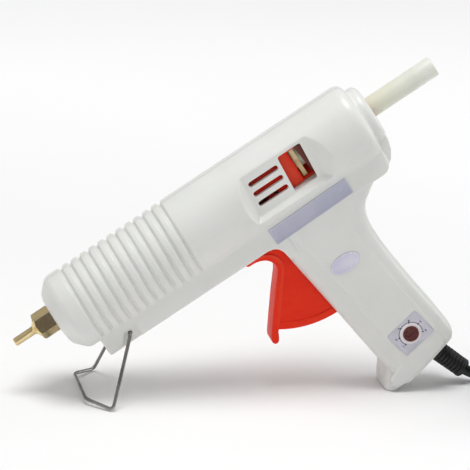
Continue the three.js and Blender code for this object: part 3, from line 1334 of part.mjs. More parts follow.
// Coil: layers of loops that spiral in, climb while they reverse, and spiral out again
class CoilPath extends THREE.Curve {
  constructor() {
    super();
    this.turns = COIL_LAYERS * COIL_LAYER_TURNS;
    this.arcLengthDivisions = 1200;
  }

  getPoint(share, target = new THREE.Vector3()) {
    const turn = share * this.turns;
    const layer = Math.min(COIL_LAYERS - 1, Math.floor(turn / COIL_LAYER_TURNS));
    const inLayer = turn / COIL_LAYER_TURNS - layer;
    const inward = layer % 2 ? 1 - inLayer : inLayer;
    const radius = COIL_IN_R + COIL_PITCH * COIL_LAYER_TURNS * (1 - inward);
    let height = LEAD_ROUTE.at(-1)[2] + layer * COIL_RISE;
    const fromEdge = [inLayer * COIL_LAYER_TURNS, (1 - inLayer) * COIL_LAYER_TURNS];
    if (layer > 0 && fromEdge[0] < 0.25) height -= COIL_RISE * (1 - THREE.MathUtils.smoothstep(fromEdge[0], -0.25, 0.25));
    if (layer + 1 < COIL_LAYERS && fromEdge[1] < 0.25) height += COIL_RISE * (1 - THREE.MathUtils.smoothstep(fromEdge[1], -0.25, 0.25));
    if (layer + 1 === COIL_LAYERS) height += COIL_RISE * (1 - THREE.MathUtils.smoothstep(fromEdge[1], 0, 0.5));
    const angle = Math.PI / 2 - turn * Math.PI * 2;
    return target.set(radius * Math.cos(angle), radius * Math.sin(angle), height);
  }
}

const coilPath = new CoilPath();
const coilSteps = Math.round(coilPath.turns * COIL_STEPS);
const coilOut = COIL_IN_R + COIL_PITCH * COIL_LAYER_TURNS;
const coil = new THREE.Group();
coil.position.set(LEAD_ROUTE.at(-1)[0] + GAP, LEAD_ROUTE.at(-1)[1] - coilOut, 0);
onFloor.add(coil);
part('cord_coil', tube(coilPath, CORD_R, coilSteps, COIL_SIDES), blackRubber, coil);

// The least space between two loops, measured on points of the centreline
const loopPoints = coilPath.getSpacedPoints(coilSteps * 3);
let least = Infinity;
loopPoints.forEach((p, i) => {
  for (let j = i + COIL_STEPS; j < loopPoints.length; j += 1) least = Math.min(least, p.distanceTo(loopPoints[j]));
});
console.log('least gap between the loops of the coil, mm', (least - CORD_R * 2).toFixed(2));
console.log('length of lead in the coil, mm', coilPath.getLength().toFixed(0));

// The tail leaves the coil straight, turns inwards at its bend radius and ends straight
function tailPoints() {
  const way = coilPath.getTangent(1).setZ(0).normalize();
  const start = coilPath.getPoint(1).addScaledVector(way, GAP);
  const bendStart = start.clone().addScaledVector(way, CORD_R);
  const centre = bendStart.clone().add(new THREE.Vector3(way.y, -way.x, 0).multiplyScalar(TAIL_BEND));
  const points = [start, bendStart];
  const steps = 5;
  for (let i = 1; i <= steps; i += 1) {
    const turn = -THREE.MathUtils.degToRad(TAIL_TURN_DEG) * (i / steps);
    const spot = bendStart.clone().sub(centre).applyAxisAngle(new THREE.Vector3(0, 0, 1), turn).add(centre);
    points.push(spot.setZ(start.z + TAIL_RISE * THREE.MathUtils.smoothstep(i / steps, 0, 1)));
    if (i === steps) way.applyAxisAngle(new THREE.Vector3(0, 0, 1), turn);
  }
  points.push(points.at(-1).clone().addScaledVector(way, TAIL_STRAIGHT));
  return points;
}

const tailPath = new THREE.CatmullRomCurve3(tailPoints(), false, 'centripetal');
part('cord_tail', tube(tailPath, CORD_R, 16, TINY_SIDES), blackRubber, coil);

// Two-pin plug on top of the coil, drawn along X from where the lead enters it
const plug = new THREE.Group();
const tailEnd = tailPath.getPoint(1);
const tailWay = tailPath.getTangent(1);
plug.position.copy(tailEnd).addScaledVector(tailWay, GAP);
plug.rotation.z = Math.atan2(tailWay.y, tailWay.x);
coil.add(plug);
const plugFront = PLUG_NECK + PLUG_LENGTH;
const plugOutline = [
  [PLUG_NECK * 0.7, -PLUG_NECK_R],
  [PLUG_NECK * 1.6, -PLUG_W / 2],
  [plugFront, -PLUG_W / 2],
  [plugFront, PLUG_W / 2],
  [PLUG_NECK * 1.6, PLUG_W / 2],
  [PLUG_NECK * 0.7, PLUG_NECK_R],
];
const plugShell = new THREE.ExtrudeGeometry(new THREE.Shape(plugOutline.map(([x, y]) => new THREE.Vector2(x, y))), {
  depth: PLUG_T - PLUG_NECK_R,
  bevelThickness: PLUG_NECK_R / 2,
  bevelSize: PLUG_NECK_R / 2,
  bevelOffset: -PLUG_NECK_R / 2,
  bevelSegments: 2,
});
plugShell.translate(0, 0, (PLUG_NECK_R - PLUG_T) / 2);
const pinHoles = [-1, 1].map((way) => barX(PLUG_PIN_R + GAP, plugFront - PLUG_PIN_LENGTH / 4, plugFront + OVER, way * PLUG_PIN_HALF, 0, SCREW_SIDES));
part('plug', cut(join(solid(plugShell), barX(PLUG_NECK_R, 0, PLUG_NECK * 2, 0, 0)), ...pinHoles), blackPlastic, plug);
[-1, 1].forEach((way, i) => {
  const from = plugFront - PLUG_PIN_LENGTH / 4 + GAP;
  part(`plug_pin_${i + 1}`, barX(PLUG_PIN_R, from, plugFront + PLUG_PIN_LENGTH, way * PLUG_PIN_HALF, 0, SCREW_SIDES), steel, plug);
});

// Tie round the bundle of loops
const tie = new THREE.Group();
tie.rotation.z = THREE.MathUtils.degToRad(-150);
coil.add(tie);
const tieBottom = LEAD_ROUTE.at(-1)[2] - CORD_R - GAP;
const tieTop = LEAD_ROUTE.at(-1)[2] + COIL_RISE * (COIL_LAYERS - 1) + CORD_R + GAP;
const tieIn = COIL_IN_R - CORD_R - GAP;
const tieOut = coilOut + CORD_R + GAP;
part('cord_tie', cut(
  block(tieIn - TIE_T, tieOut + TIE_T, -TIE_W / 2, TIE_W / 2, tieBottom - TIE_T, tieTop + TIE_T),
  block(tieIn, tieOut, -TIE_W, TIE_W, tieBottom, tieTop),
), blackPlastic, tie);

// The origin is under the middle of the tool, on the floor
const extent = new THREE.Box3().setFromObject(tool, true);
const centre = extent.getCenter(new THREE.Vector3());
whole.position.set(-centre.x, -centre.y, -extent.min.z);
whole.updateMatrixWorld(true);

export default whole;
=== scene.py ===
import json
from math import atan2, cos, hypot, pi, radians, sin, tan

import bpy
from mathutils import Euler, Matrix, Vector


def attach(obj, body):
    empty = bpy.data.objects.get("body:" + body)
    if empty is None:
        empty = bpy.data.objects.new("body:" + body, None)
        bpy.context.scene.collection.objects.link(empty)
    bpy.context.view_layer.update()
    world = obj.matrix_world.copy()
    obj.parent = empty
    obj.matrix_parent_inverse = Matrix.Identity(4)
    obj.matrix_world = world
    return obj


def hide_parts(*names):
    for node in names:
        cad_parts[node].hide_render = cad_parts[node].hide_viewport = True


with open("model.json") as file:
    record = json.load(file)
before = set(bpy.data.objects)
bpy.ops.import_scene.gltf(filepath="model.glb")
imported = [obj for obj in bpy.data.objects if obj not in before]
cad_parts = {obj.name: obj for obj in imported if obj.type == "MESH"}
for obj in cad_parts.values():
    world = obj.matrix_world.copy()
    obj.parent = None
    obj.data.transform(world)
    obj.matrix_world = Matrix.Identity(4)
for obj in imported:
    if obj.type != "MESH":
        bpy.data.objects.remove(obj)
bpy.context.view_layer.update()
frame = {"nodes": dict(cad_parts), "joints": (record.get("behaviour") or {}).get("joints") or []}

# Camera. The photograph is a catalogue shot through a long lens, a little above the tool and from
# the nozzle's side. Its place is given beside the tool laid level, in millimetres, with the barrel
# along X and its centre at 0, and the same turn and shift then tips tool and camera together.
joints = {joint["name"]: joint for joint in frame["joints"]}
forward = Vector(joints["feed_slide"]["axis"])
tip = Matrix.Rotation(-atan2(-forward.z, -forward.x), 4, "Y")
to_metres = Matrix.Scale(0.001, 4)
pivot = Vector(joints["trigger_pull"]["pos_m"])
pivot_at = (58.4, -29)
laid_pivot = to_metres @ Vector((pivot_at[0], 0, pivot_at[1]))
tipped = Matrix.Translation(pivot - tip @ laid_pivot) @ tip @ to_metres

camera = bpy.data.objects.new("camera", bpy.data.cameras.new("camera"))
camera.data.sensor_width = 36
camera.data.lens = 229.8
camera_at = (33.7, -1453.1, 601.6)
camera_turn = (62.993, 30.512, -14.55)
turned_camera = Euler([radians(angle) for angle in camera_turn]).to_matrix().to_4x4()
camera.matrix_world = Matrix.Translation(tipped @ Vector(camera_at)) @ tip @ turned_camera
bpy.context.scene.collection.objects.link(camera)
bpy.context.scene.camera = camera


# Mains lead. A round black two-core lead, 6 mm thick and about 1.4 m long, comes out of the ribbed
# strain relief, drops to the bench and is wound into a coil of four layers held by a tie. The plug
# lies flat on top of the coil. All of the coil is outside the photograph.
def curve_along(name, points, radius, sides=4):
    """A round lead or wire along points, in the points' own units."""
    curve = bpy.data.curves.new(name, "CURVE")
    curve.dimensions = "3D"
    curve.bevel_depth = radius
    curve.bevel_resolution = sides
    curve.use_fill_caps = True
    spline = curve.splines.new("POLY")
    spline.points.add(len(points) - 1)
    for spot, point in zip(spline.points, points):
        spot.co = (*point, 1)
    spline.use_smooth = True
    piece = bpy.data.objects.new(name, curve)
    bpy.context.scene.collection.objects.link(piece)
    return piece


def between(points, steps):
    """Points along a smooth line through the given ones."""
    spots = [Vector(point) for point in points]
    spots = [spots[0] * 2 - spots[1], *spots, spots[-1] * 2 - spots[-2]]
    smooth = []
    for a, b, c, d in zip(spots, spots[1:], spots[2:], spots[3:]):
        for step in range(steps):
            t = step / steps
            bend = (a * 2 - b * 5 + c * 4 - d) * t**2
            twist = (b * 3 - a - c * 3 + d) * t**3
            smooth.append((b * 2 + (c - a) * t + bend + twist) / 2)
    return [*smooth, spots[-2]]


def eased(share):
    """0 to 1, with an easy start and an easy end."""
    share = min(1, max(0, share))
    return share * share * (3 - 2 * share)


boot_root = Vector((91.2, 0, -136.8))
boot_tilt = radians(19.8)
boot_way = Vector((sin(boot_tilt), 0, -cos(boot_tilt)))
boot_length = 19
mouth = tipped @ (boot_root + boot_way * boot_length) * 1000
lead_r = 3
lead_low = 4.15
lead_route = [
    (0.25, 0, 8.58), (4.7, 0, 6.01), (9.35, 0, 4.31), (13.25, 0, 3.55), (16.7, 0, 3.34), (21, 0.28, 3.3),
    (26, 1.41, 3.5), (31, 3.26, 3.7), (36, 4.57, 4), (41, 5, lead_low), (44.7, 5, lead_low),
]
layers = 4
turns_in_layer = 1.6
inner_r = 26.6
pitch = 6.55
layer_rise = 6.5
crossing = 0.5
outer_r = inner_r + pitch * turns_in_layer
coil_centre = Vector((45, 5 - outer_r, 0))


def coil_point(turn):
    """A place on the coil, so many turns from its start at the outside of the lowest layer."""
    layer = min(layers - 1, int(turn / turns_in_layer))
    share = turn / turns_in_layer - layer
    radius = inner_r + pitch * turns_in_layer * (share if layer % 2 else 1 - share)
    since = share * turns_in_layer
    left = (1 - share) * turns_in_layer
    height = lead_low + layer * layer_rise
    if layer > 0 and since < crossing / 2:
        height -= layer_rise * (1 - eased((since + crossing / 2) / crossing))
    if layer + 1 < layers and left < crossing / 2:
        height += layer_rise * (1 - eased((left + crossing / 2) / crossing))
    if layer + 1 == layers:
        height += layer_rise * (1 - eased(left / crossing))
    angle = pi / 2 - turn * 2 * pi
    return coil_centre + Vector((radius * cos(angle), radius * sin(angle), height))


coil_turns = layers * turns_in_layer
coil_steps = 300
coil_points = [coil_point(coil_turns * i / coil_steps) for i in range(coil_steps + 1)]
tail_way = (coil_points[-1] - coil_points[-2]) * Vector((1, 1, 0))
tail_way.normalize()
clearance = 0.3
tail_bend_r = 24
tail_turn = radians(135)
tail_rise = 3.6
tail_steps = 25
tail_start = coil_points[-1] + tail_way * (clearance + lead_r)
tail_centre = tail_start + Vector((tail_way.y, -tail_way.x, 0)) * tail_bend_r
tail_points = [tail_start]
for i in range(1, tail_steps + 1):
    turn = Matrix.Rotation(-tail_turn * i / tail_steps, 3, "Z")
    spot = tail_centre + turn @ (tail_start - tail_centre)
    tail_points.append(spot + Vector((0, 0, tail_rise * eased(i / tail_steps))))
tail_way = turn @ tail_way
tail_straight = 6
plug_root = tail_points[-1] + tail_way * tail_straight
all_points = [*between(lead_route, 4), *coil_points[1:], *tail_points, plug_root]
floor_points = [point + Vector((mouth.x, 0, 0)) for point in all_points]
mains_lead = curve_along("mains_lead", [point * 0.001 for point in floor_points], lead_r * 0.001)
lead_length = sum((b - a).length for a, b in zip(floor_points, floor_points[1:])) * 0.001


class Shade:
    """A socket of a material's nodes. Sums of sockets make Math nodes, and node() makes any other."""

    def __init__(self, tree, socket=None):
        self.tree = tree
        self.socket = socket

    def feed(self, socket, value):
        """An input gets a link, or else a value, with as many numbers as it takes."""
        if isinstance(value, Shade):
            self.tree.links.new(value.socket, socket)
        elif isinstance(value, tuple):
            socket.default_value = (*value, 1)[:len(socket.default_value)]
        else:
            socket.default_value = value

    def node(self, kind, settings=None, inputs=None, out=0):
        """A node of this kind, as the socket that it gives out."""
        made = self.tree.nodes.new("ShaderNode" + kind)
        for name, value in (settings or {}).items():
            setattr(made, name, value)
        for name, value in (inputs or {}).items():
            self.feed(made.inputs[name], value)
        return Shade(self.tree, made.outputs[out])

    def maths(self, operation, *values):
        """A Math node on these values or sockets."""
        return self.node("Math", {"operation": operation}, dict(enumerate(values)))

    def vector_maths(self, operation, *values, out=0):
        """A Vector Math node on these. Its output 1 is a number."""
        return self.node("VectorMath", {"operation": operation}, dict(enumerate(values)), out)

    def __add__(self, other):
        return self.maths("ADD", self, other)

    def __mul__(self, other):
        return self.maths("MULTIPLY", self, other)

    __radd__ = __add__
    __rmul__ = __mul__

    def between(self, low, high):
        """0 where the socket is at low and 1 where it is at high, with an eased way between."""
        settings = {"interpolation_type": "SMOOTHSTEP"}
        return self.node("MapRange", settings, {"Value": self, "From Min": low, "From Max": high})

    def mixed(self, colour, other):
        """From colour where this socket is 0 to the other colour where it is 1."""
        return self.node("Mix", {"data_type": "RGBA"}, {0: self, 6: colour, 7: other}, out=2)

    def here(self):
        """The piece's own coordinates, in metres."""
        return self.node("TexCoord", out="Object")

    def noise(self, scale, detail=2, roughness=0.5, stretch=(1, 1, 1)):
        """A noise of the given scale, in grains per metre, on the piece's own coordinates."""
        where = self.here()
        if stretch != (1, 1, 1):
            where = self.node("Mapping", None, {"Vector": where, "Scale": stretch})
        inputs = {"Vector": where, "Scale": scale, "Detail": detail, "Roughness": roughness}
        return self.node("TexNoise", None, inputs)

    def bump(self, height, distance, strength=1.0, below=None):
        """Relief from a height between 0 and 1, over a distance in metres."""
        inputs = {"Height": height, "Distance": distance, "Strength": strength}
        if below:
            inputs["Normal"] = below
        return self.node("Bump", None, inputs)

    def edge_wear(self, low, high):
        """1 on the outer edges, from how sharply the surface turns there."""
        return self.node("NewGeometry", out="Pointiness").between(low, high)


def finish(name, build):
    """A material whose shader sockets come from build(shade)."""
    made = bpy.data.materials.new(name)
    made.use_nodes = True
    shader = made.node_tree.nodes["Principled BSDF"]
    shade = Shade(made.node_tree)
    for socket, value in build(shade).items():
        shade.feed(shader.inputs[socket], value)
    return made


def black_rubber_nodes(shade):
    dust = shade.noise(900, 4, 0.6).between(0.45, 0.75)
    grain = shade.noise(5200, 2)
    return {
        "Base Color": (dust * 0.5).mixed((0.013, 0.013, 0.014), (0.032, 0.031, 0.031)),
        "Roughness": dust * 0.16 + 0.42,
        "Normal": shade.bump(grain, 0.00005, 0.5),
        "Specular IOR Level": 0.42,
    }


black_rubber = finish("black_rubber", black_rubber_nodes)
mains_lead.data.materials.append(black_rubber)
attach(mains_lead, "tool")
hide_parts("cord_lead", "cord_coil", "cord_tail")


# Strain relief. A moulded rubber boot with eight ribs, which tapers towards its mouth and ends there in a
# wider lip. Its flange is held in a groove between the halves of the handle, and the lead runs through it.
def alone(piece):
    """The only selected object, in object mode."""
    if bpy.context.object and bpy.context.object.mode == "EDIT":
        bpy.ops.object.mode_set(mode="OBJECT")
    bpy.ops.object.select_all(action="DESELECT")
    bpy.context.view_layer.objects.active = piece
    piece.select_set(True)


def chain(name, points):
    """A line of edges, drawn point by point."""
    points = [Vector(point) for point in points]
    bpy.ops.object.select_all(action="DESELECT")
    bpy.ops.mesh.primitive_plane_add(size=1)
    piece = bpy.context.object
    piece.name = name
    bpy.ops.object.mode_set(mode="EDIT")
    bpy.ops.mesh.select_all(action="SELECT")
    bpy.ops.mesh.merge(type="CENTER")
    bpy.ops.transform.translate(value=points[0])
    for here, there in zip(points, points[1:]):
        bpy.ops.mesh.extrude_vertices_move(TRANSFORM_OT_translate={"value": there - here})
    bpy.ops.object.mode_set(mode="OBJECT")
    return piece


def opened(piece):
    """Edit mode, with all of the piece selected."""
    alone(piece)
    bpy.ops.object.mode_set(mode="EDIT")
    bpy.ops.mesh.select_all(action="SELECT")
    return piece


def mend(piece):
    """Doubled points are merged and every face is turned outwards."""
    opened(piece)
    bpy.ops.mesh.remove_doubles(threshold=0.001)
    bpy.ops.mesh.normals_make_consistent(inside=False)
    bpy.ops.object.mode_set(mode="OBJECT")
    return piece


def lathe(name, profile, steps=64, up=0, closed=False):
    """A profile of (x, radius) points spun about the X axis at the given height."""
    piece = opened(chain(name, [(x, 0, r + up) for x, r in profile]))
    if closed:
        bpy.ops.mesh.edge_face_add()
        bpy.ops.mesh.delete(type="ONLY_FACE")
        bpy.ops.mesh.select_all(action="SELECT")
    bpy.ops.mesh.spin(steps=steps, angle=2 * pi, center=(0, 0, up), axis=(1, 0, 0))
    return mend(piece)


def placed(piece, matrix):
    """The piece is put in its place, and the place goes into its mesh."""
    alone(piece)
    piece.matrix_world = matrix
    bpy.ops.object.transform_apply(location=True, rotation=True, scale=True)
    return piece


def dressed(piece, material, body, slot, *nodes, angle=35, matrix=tipped):
    """A finished piece: in its place, smooth, with its material and its body, and the imported parts it
    replaces hidden.
    """
    placed(piece, matrix)
    if angle:
        bpy.ops.object.shade_smooth_by_angle(angle=radians(angle))
    piece.data.materials.clear()
    piece.data.materials.append(material)
    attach(piece, body)
    if nodes:
        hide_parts(*nodes)
    return piece


boot_in = 9
boot_flange = 2
boot_flange_r = 6.8
boot_bore_r = 3.1
boot_r = 5.5
boot_end_r = 5.2
ribs = 8
rib_pitch = boot_length / (ribs + 0.4)
boot_profile = [
    (-boot_in, boot_bore_r), (-boot_in, boot_flange_r), (-boot_in + boot_flange, boot_flange_r),
    (-boot_in + boot_flange, boot_r), (0.2, boot_r),
]
for i in range(ribs):
    start = 0.5 + i * rib_pitch
    r = boot_r + (boot_end_r - boot_r) * start / boot_length
    boot_profile += [
        (start, r - 0.1), (start + 0.12, r - 0.62), (start + 0.5, r - 0.75), (start + 0.75, r - 0.6),
        (start + 0.86, r - 0.12), (start + 1.05, r + 0.06), (start + rib_pitch - 0.22, r + 0.05),
    ]
lip_r = boot_end_r + 0.15
lip_end = boot_length + 1.5
boot_profile += [
    (boot_length - 0.6, boot_end_r - 0.1), (boot_length - 0.3, lip_r), (lip_end - 0.4, lip_r),
    (lip_end, boot_end_r - 0.2), (lip_end, boot_bore_r),
]
strain_relief = lathe("strain_relief_boot", boot_profile, 48, closed=True)
boot_turn = Matrix.Translation(boot_root) @ Matrix.Rotation(pi / 2 - boot_tilt, 4, "Y")
dressed(strain_relief, black_rubber, "tool", "black_rubber", "strain_relief", matrix=tipped @ boot_turn)


# Plug with two round pins, as sold with the tool, moulded in black plastic on the end of the lead.
# The pins are turned steel. It lies on the coil, and its grip is waisted and ribbed for the fingers.
def outline(name, points, near, far):
    """A flat outline of (x, z) points made a plate from one depth to another."""
    piece = opened(chain(name, [(x, near, z) for x, z in points]))
    bpy.ops.mesh.edge_face_add()
    bpy.ops.mesh.extrude_region_move(TRANSFORM_OT_translate={"value": (0, far - near, 0)})
    return mend(piece)


def rounded(piece, width, steps=3, test=None, angle=30):
    """Edges are rounded: those that the test picks by their two ends, or else all the sharp ones."""
    alone(piece)
    bpy.ops.object.mode_set(mode="EDIT")
    bpy.ops.mesh.select_mode(type="EDGE")
    bpy.ops.mesh.select_all(action="DESELECT")
    if test:
        bpy.ops.object.mode_set(mode="OBJECT")
        points = piece.data.vertices
        for edge in piece.data.edges:
            edge.select = bool(test(*(points[i].co for i in edge.vertices)))
        bpy.ops.object.mode_set(mode="EDIT")
    else:
        bpy.ops.mesh.edges_select_sharp(sharpness=radians(angle))
    bpy.ops.mesh.bevel(offset=width, segments=steps, profile=0.5, affect="EDGES", clamp_overlap=True)
    bpy.ops.mesh.select_mode(type="VERT")
    bpy.ops.object.mode_set(mode="OBJECT")
    return piece


def modified(piece, kind, **settings):
    """A modifier with these settings is applied."""
    alone(piece)
    modifier = piece.modifiers.new(kind.lower(), kind)
    for name, value in settings.items():
        setattr(modifier, name, value)
    bpy.ops.object.modifier_apply(modifier=modifier.name)


def combined(piece, others, how="UNION"):
    """Pieces are joined to the first one, or cut out of it, and then removed."""
    for other in others:
        modified(piece, "BOOLEAN", solver="MANIFOLD", operation=how, object=other)
        bpy.data.objects.remove(other)
    return piece


def black_plastic_nodes(shade):
    grain = shade.noise(3200, 3)
    patches = shade.noise(160, 2).between(0.35, 0.7)
    return {
        "Base Color": patches.mixed((0.016, 0.016, 0.017), (0.026, 0.026, 0.027)),
        "Roughness": patches * 0.12 + 0.34,
        "Normal": shade.bump(grain, 0.00004, 0.6),
    }


def bright_metal(name, colour, dark, rough, scale=700):
    """A drawn or turned metal, stained here and there to the dark colour."""

    def nodes(shade):
        brushed = shade.noise(scale, 3, 0.6)
        stain = shade.noise(110, 3).between(0.45, 0.75)
        return {
            "Base Color": stain.mixed(colour, dark),
            "Metallic": 1.0,
            "Roughness": brushed * 0.14 + stain * 0.12 + rough,
            "Normal": shade.bump(brushed, 0.00003, 0.5),
        }

    return finish(name, nodes)


black_plastic = finish("black_plastic", black_plastic_nodes)
steel = bright_metal("steel", (0.58, 0.57, 0.55), (0.42, 0.40, 0.37), 0.2)
plug_end = 36
plug_half = 12
plug_thick = 13
plug_side = between([
    (7, 4.4), (11, 7.2), (15, 11.2), (20, plug_half), (28, 11.3), (plug_end, plug_half),
], 4)
plug_line = [*plug_side, *[(x, -z) for x, z in reversed(plug_side)]]
plug = outline("plug_body", plug_line, -plug_thick / 2, plug_thick / 2)
rounded(plug, 2.6, 4)
neck = lathe("neck", [
    (0, 0), (0, 4.1), (0.4, 4.4), (2.2, 4.4), (2.5, 3.9), (3.4, 3.9), (3.7, 4.4), (14, 4.9), (14, 0),
], 32)
combined(plug, [neck])
grip_r = 0.55
grip_start = 21
grip_pitch = 2
grip_y = plug_thick / 2 + 0.2
grips = []
for way in (-1, 1):
    for i in range(5):
        bpy.ops.mesh.primitive_cylinder_add(
            vertices=16, radius=grip_r, depth=14, location=(grip_start + i * grip_pitch, way * grip_y, 0),
        )
        grips.append(bpy.context.object)
combined(plug, grips, "DIFFERENCE")
pin_half = 9.5
pin_r = 2
pin_start = plug_end - 4.4
pin_end = plug_end + 19
pin_line = [
    (pin_start, 0), (pin_start, pin_r), (pin_end - 2, pin_r), (pin_end - 0.6, 1.5), (pin_end, 0.7),
    (pin_end, 0),
]
hole_start = pin_start - clearance
hole_line = [(hole_start, 0), (hole_start, pin_r + 0.1), (plug_end + 2, pin_r + 0.1), (plug_end + 2, 0)]
pins = []
holes = []
for i, way in enumerate((-1, 1)):
    aside = Matrix.Translation((0, 0, way * pin_half))
    pins.append(placed(lathe(f"plug_pin_{i + 1}_turned", pin_line, 32), aside))
    holes.append(placed(lathe("hole", hole_line, 32), aside))
combined(plug, holes, "DIFFERENCE")
lie_flat = Matrix.Rotation(pi / 2, 4, "X")
plug_turn = Matrix.Rotation(atan2(tail_way.y, tail_way.x), 4, "Z")
plug_place = to_metres @ Matrix.Translation(floor_points[-1] + tail_way * clearance) @ plug_turn @ lie_flat
dressed(plug, black_plastic, "tool", "black_plastic", "plug", matrix=plug_place)
for i, pin in enumerate(pins):
    dressed(pin, steel, "tool", "steel", f"plug_pin_{i + 1}", matrix=plug_place)


# Tie. A soft black strap that goes once round the bundle of loops and holds the spare lead together.
def block(name, low, high):
    """A block between two corners."""
    low = Vector(low)
    high = Vector(high)
    bpy.ops.object.select_all(action="DESELECT")
    bpy.ops.mesh.primitive_cube_add(size=1, location=(low + high) / 2)
    piece = bpy.context.object
    piece.name = name
    piece.scale = high - low
    bpy.ops.object.transform_apply(location=True, rotation=True, scale=True)
    return piece


tie_w = 5
tie_t = 0.8
tie_in = inner_r - lead_r - clearance
tie_out = outer_r + lead_r + clearance
tie_low = lead_low - lead_r - clearance
tie_high = lead_low + layer_rise * (layers - 1) + lead_r + clearance
tie_corner = 2.6
tie_turn = radians(-150)


def strap(name, width, spare):
    """A closed loop of strap, as an upright plate with rounded corners."""
    low = (tie_in - spare, -width / 2, tie_low - spare)
    piece = block(name, low, (tie_out + spare, width / 2, tie_high + spare))
    return rounded(piece, tie_corner + spare, 5, lambda a, b: abs(a.y - b.y) > tie_w / 2)


tie = combined(strap("coil_tie", tie_w, tie_t), [strap("room", tie_w * 2, 0)], "DIFFERENCE")
rounded(tie, 0.2, 2, angle=60)
tie_at = Matrix.Translation(coil_centre + Vector((mouth.x, 0, 0)))
tie_place = to_metres @ tie_at @ Matrix.Rotation(tie_turn, 4, "Z")
dressed(tie, black_plastic, "tool", "black_plastic", "cord_tie", matrix=tie_place)

lead_exit = tuple(floor_points[0] * 0.001)


# Casing. Two mirrored halves moulded in white nylon, with a parting line all round in the middle plane.
# The barrel is ribbed over the melt chamber, a keel under it carries the trigger, and the handle hangs
# from its rear. Seven screws from the far side hold the halves together.
def moved(piece, shift, test):
    """The points that the test picks by their place are shifted."""
    alone(piece)
    bpy.ops.object.mode_set(mode="EDIT")
    bpy.ops.mesh.select_mode(type="VERT")
    bpy.ops.mesh.select_all(action="DESELECT")
    bpy.ops.object.mode_set(mode="OBJECT")
    for point in piece.data.vertices:
        point.select = bool(test(point.co))
    bpy.ops.object.mode_set(mode="EDIT")
    bpy.ops.transform.translate(value=shift)
    bpy.ops.object.mode_set(mode="OBJECT")
    return piece


def rod(name, radius, near, far, x, z, sides=40):
    """A round bar across the tool, from one depth to another."""
    bpy.ops.object.select_all(action="DESELECT")
    bpy.ops.mesh.primitive_cylinder_add(
        vertices=sides, radius=radius, depth=far - near, rotation=(pi / 2, 0, 0),
        location=(x, (near + far) / 2, z),
    )
    piece = bpy.context.object
    piece.name = name
    bpy.ops.object.transform_apply(location=True, rotation=True, scale=True)
    return piece


def beside(name, middle, half_depth, low, high):
    """A block about a depth on one side of the tool, between two corners given as (x, z)."""
    start = (low[0], middle - half_depth, low[1])
    return block(name, start, (high[0], middle + half_depth, high[1]))


half = 13.5
wall = 2.2
seam = 0.15
bore_z = 2
barrel_r = 22
keel_z = -29.3
keel_x = -54.4
body_end = 123.8
cap_end = 130

# Barrel with its cone-fronted nose, twelve grooves and a domed rear end
barrel_line = [(-68, 0), (-68, 12.5), (-66.9, 15.6), (-61.9, 20.8), (-61.2, 21.3), (-59.2, barrel_r)]
grooves = 12
groove_pitch = 5.61
groove_r = barrel_r - 1.75
for i in range(grooves):
    x = -51.2 + i * groove_pitch
    barrel_line += [(x - 1.35, barrel_r), (x - 0.45, groove_r), (x + 0.45, groove_r), (x + 1.35, barrel_r)]
barrel_line += [(118.8 + 5 * sin(turn * pi / 8), 17.8 + 4.2 * cos(turn * pi / 8)) for turn in range(5)]
barrel = lathe("barrel", [*barrel_line, (body_end, 0)], 128)

# Window panel sunk into the near side: a flat floor with a slope in front, behind and below
panel_y = -15.6
sunk = block("sunk", (51.9, -24, -8.9), (91.4, panel_y, 15.4))
moved(sunk, (-7.35, 0, 0), lambda point: point.y < -20 and point.x < 60)
moved(sunk, (10.5, 0, 0), lambda point: point.y < -20 and point.x > 80)
moved(sunk, (0, 0, -5.46), lambda point: point.y < -20 and point.z < 0)
moved(sunk, (0.85, 0, 0), lambda point: point.z > 0)
moved(sunk, (-0.85, 0, 0), lambda point: point.z < 0)
combined(barrel, [sunk], "DIFFERENCE")

keel = outline("keel", [(keel_x, 0), (keel_x, keel_z), (body_end - 1, keel_z), (body_end, 0)], -half, half)
rounded(keel, 5.5, 5, lambda a, b: min(a.x, b.x) > 120 and max(a.z, b.z) < -20)
rounded(keel, 1.5, 3, lambda a, b: max(a.z, b.z) < -1 and (abs(a.y - b.y) < 1 or max(a.x, b.x) < -50))

cap_line = [(120, 0), (120, 16.6), (126.6, 16.6)]
cap_line += [(126.6 + 3.4 * sin(turn * pi / 8), 13.2 + 3.4 * cos(turn * pi / 8)) for turn in range(1, 5)]
cap = lathe("cap", [*cap_line, (cap_end, 0)], 96)
lower_line = [
    (107, 0), (107, -27.9), (120.4, -27.9), (125.2, -24.4), (127.8, -19.6), (129.2, -14), (cap_end, -2),
    (cap_end, 0),
]
cap_lower = outline("cap_lower", lower_line, -11, 11)
rounded(cap_lower, 1.6, 3, lambda a, b: a.z + b.z < -2 and abs(a.y - b.y) < 1)


def roll(x, y, width, depth, start, level):
    """Points along a quarter of an oval on one level, from the angle start."""
    turns = [start - i * pi / 16 for i in range(9)]
    return [(x + width * cos(turn), y + depth * sin(turn), level) for turn in turns]


def drawn_down(name, side, front_now, back_now, levels):
    """A level outline, given for its far side, is extruded down through (height, front, back)."""
    piece = opened(chain(name, [*side, *[(x, -y, z) for x, y, z in reversed(side)]]))
    bpy.ops.mesh.edge_face_add()
    level_now = side[0][2]
    for level, front, back in levels:
        shift = (front - front_now, 0, level - level_now)
        bpy.ops.mesh.extrude_region_move(TRANSFORM_OT_translate={"value": shift})
        wider = (back - front) / (back_now - front_now)
        bpy.ops.transform.resize(value=(wider, 1, 1), center_override=(front, 0, level))
        level_now, front_now, back_now = level, front, back
    return mend(piece)


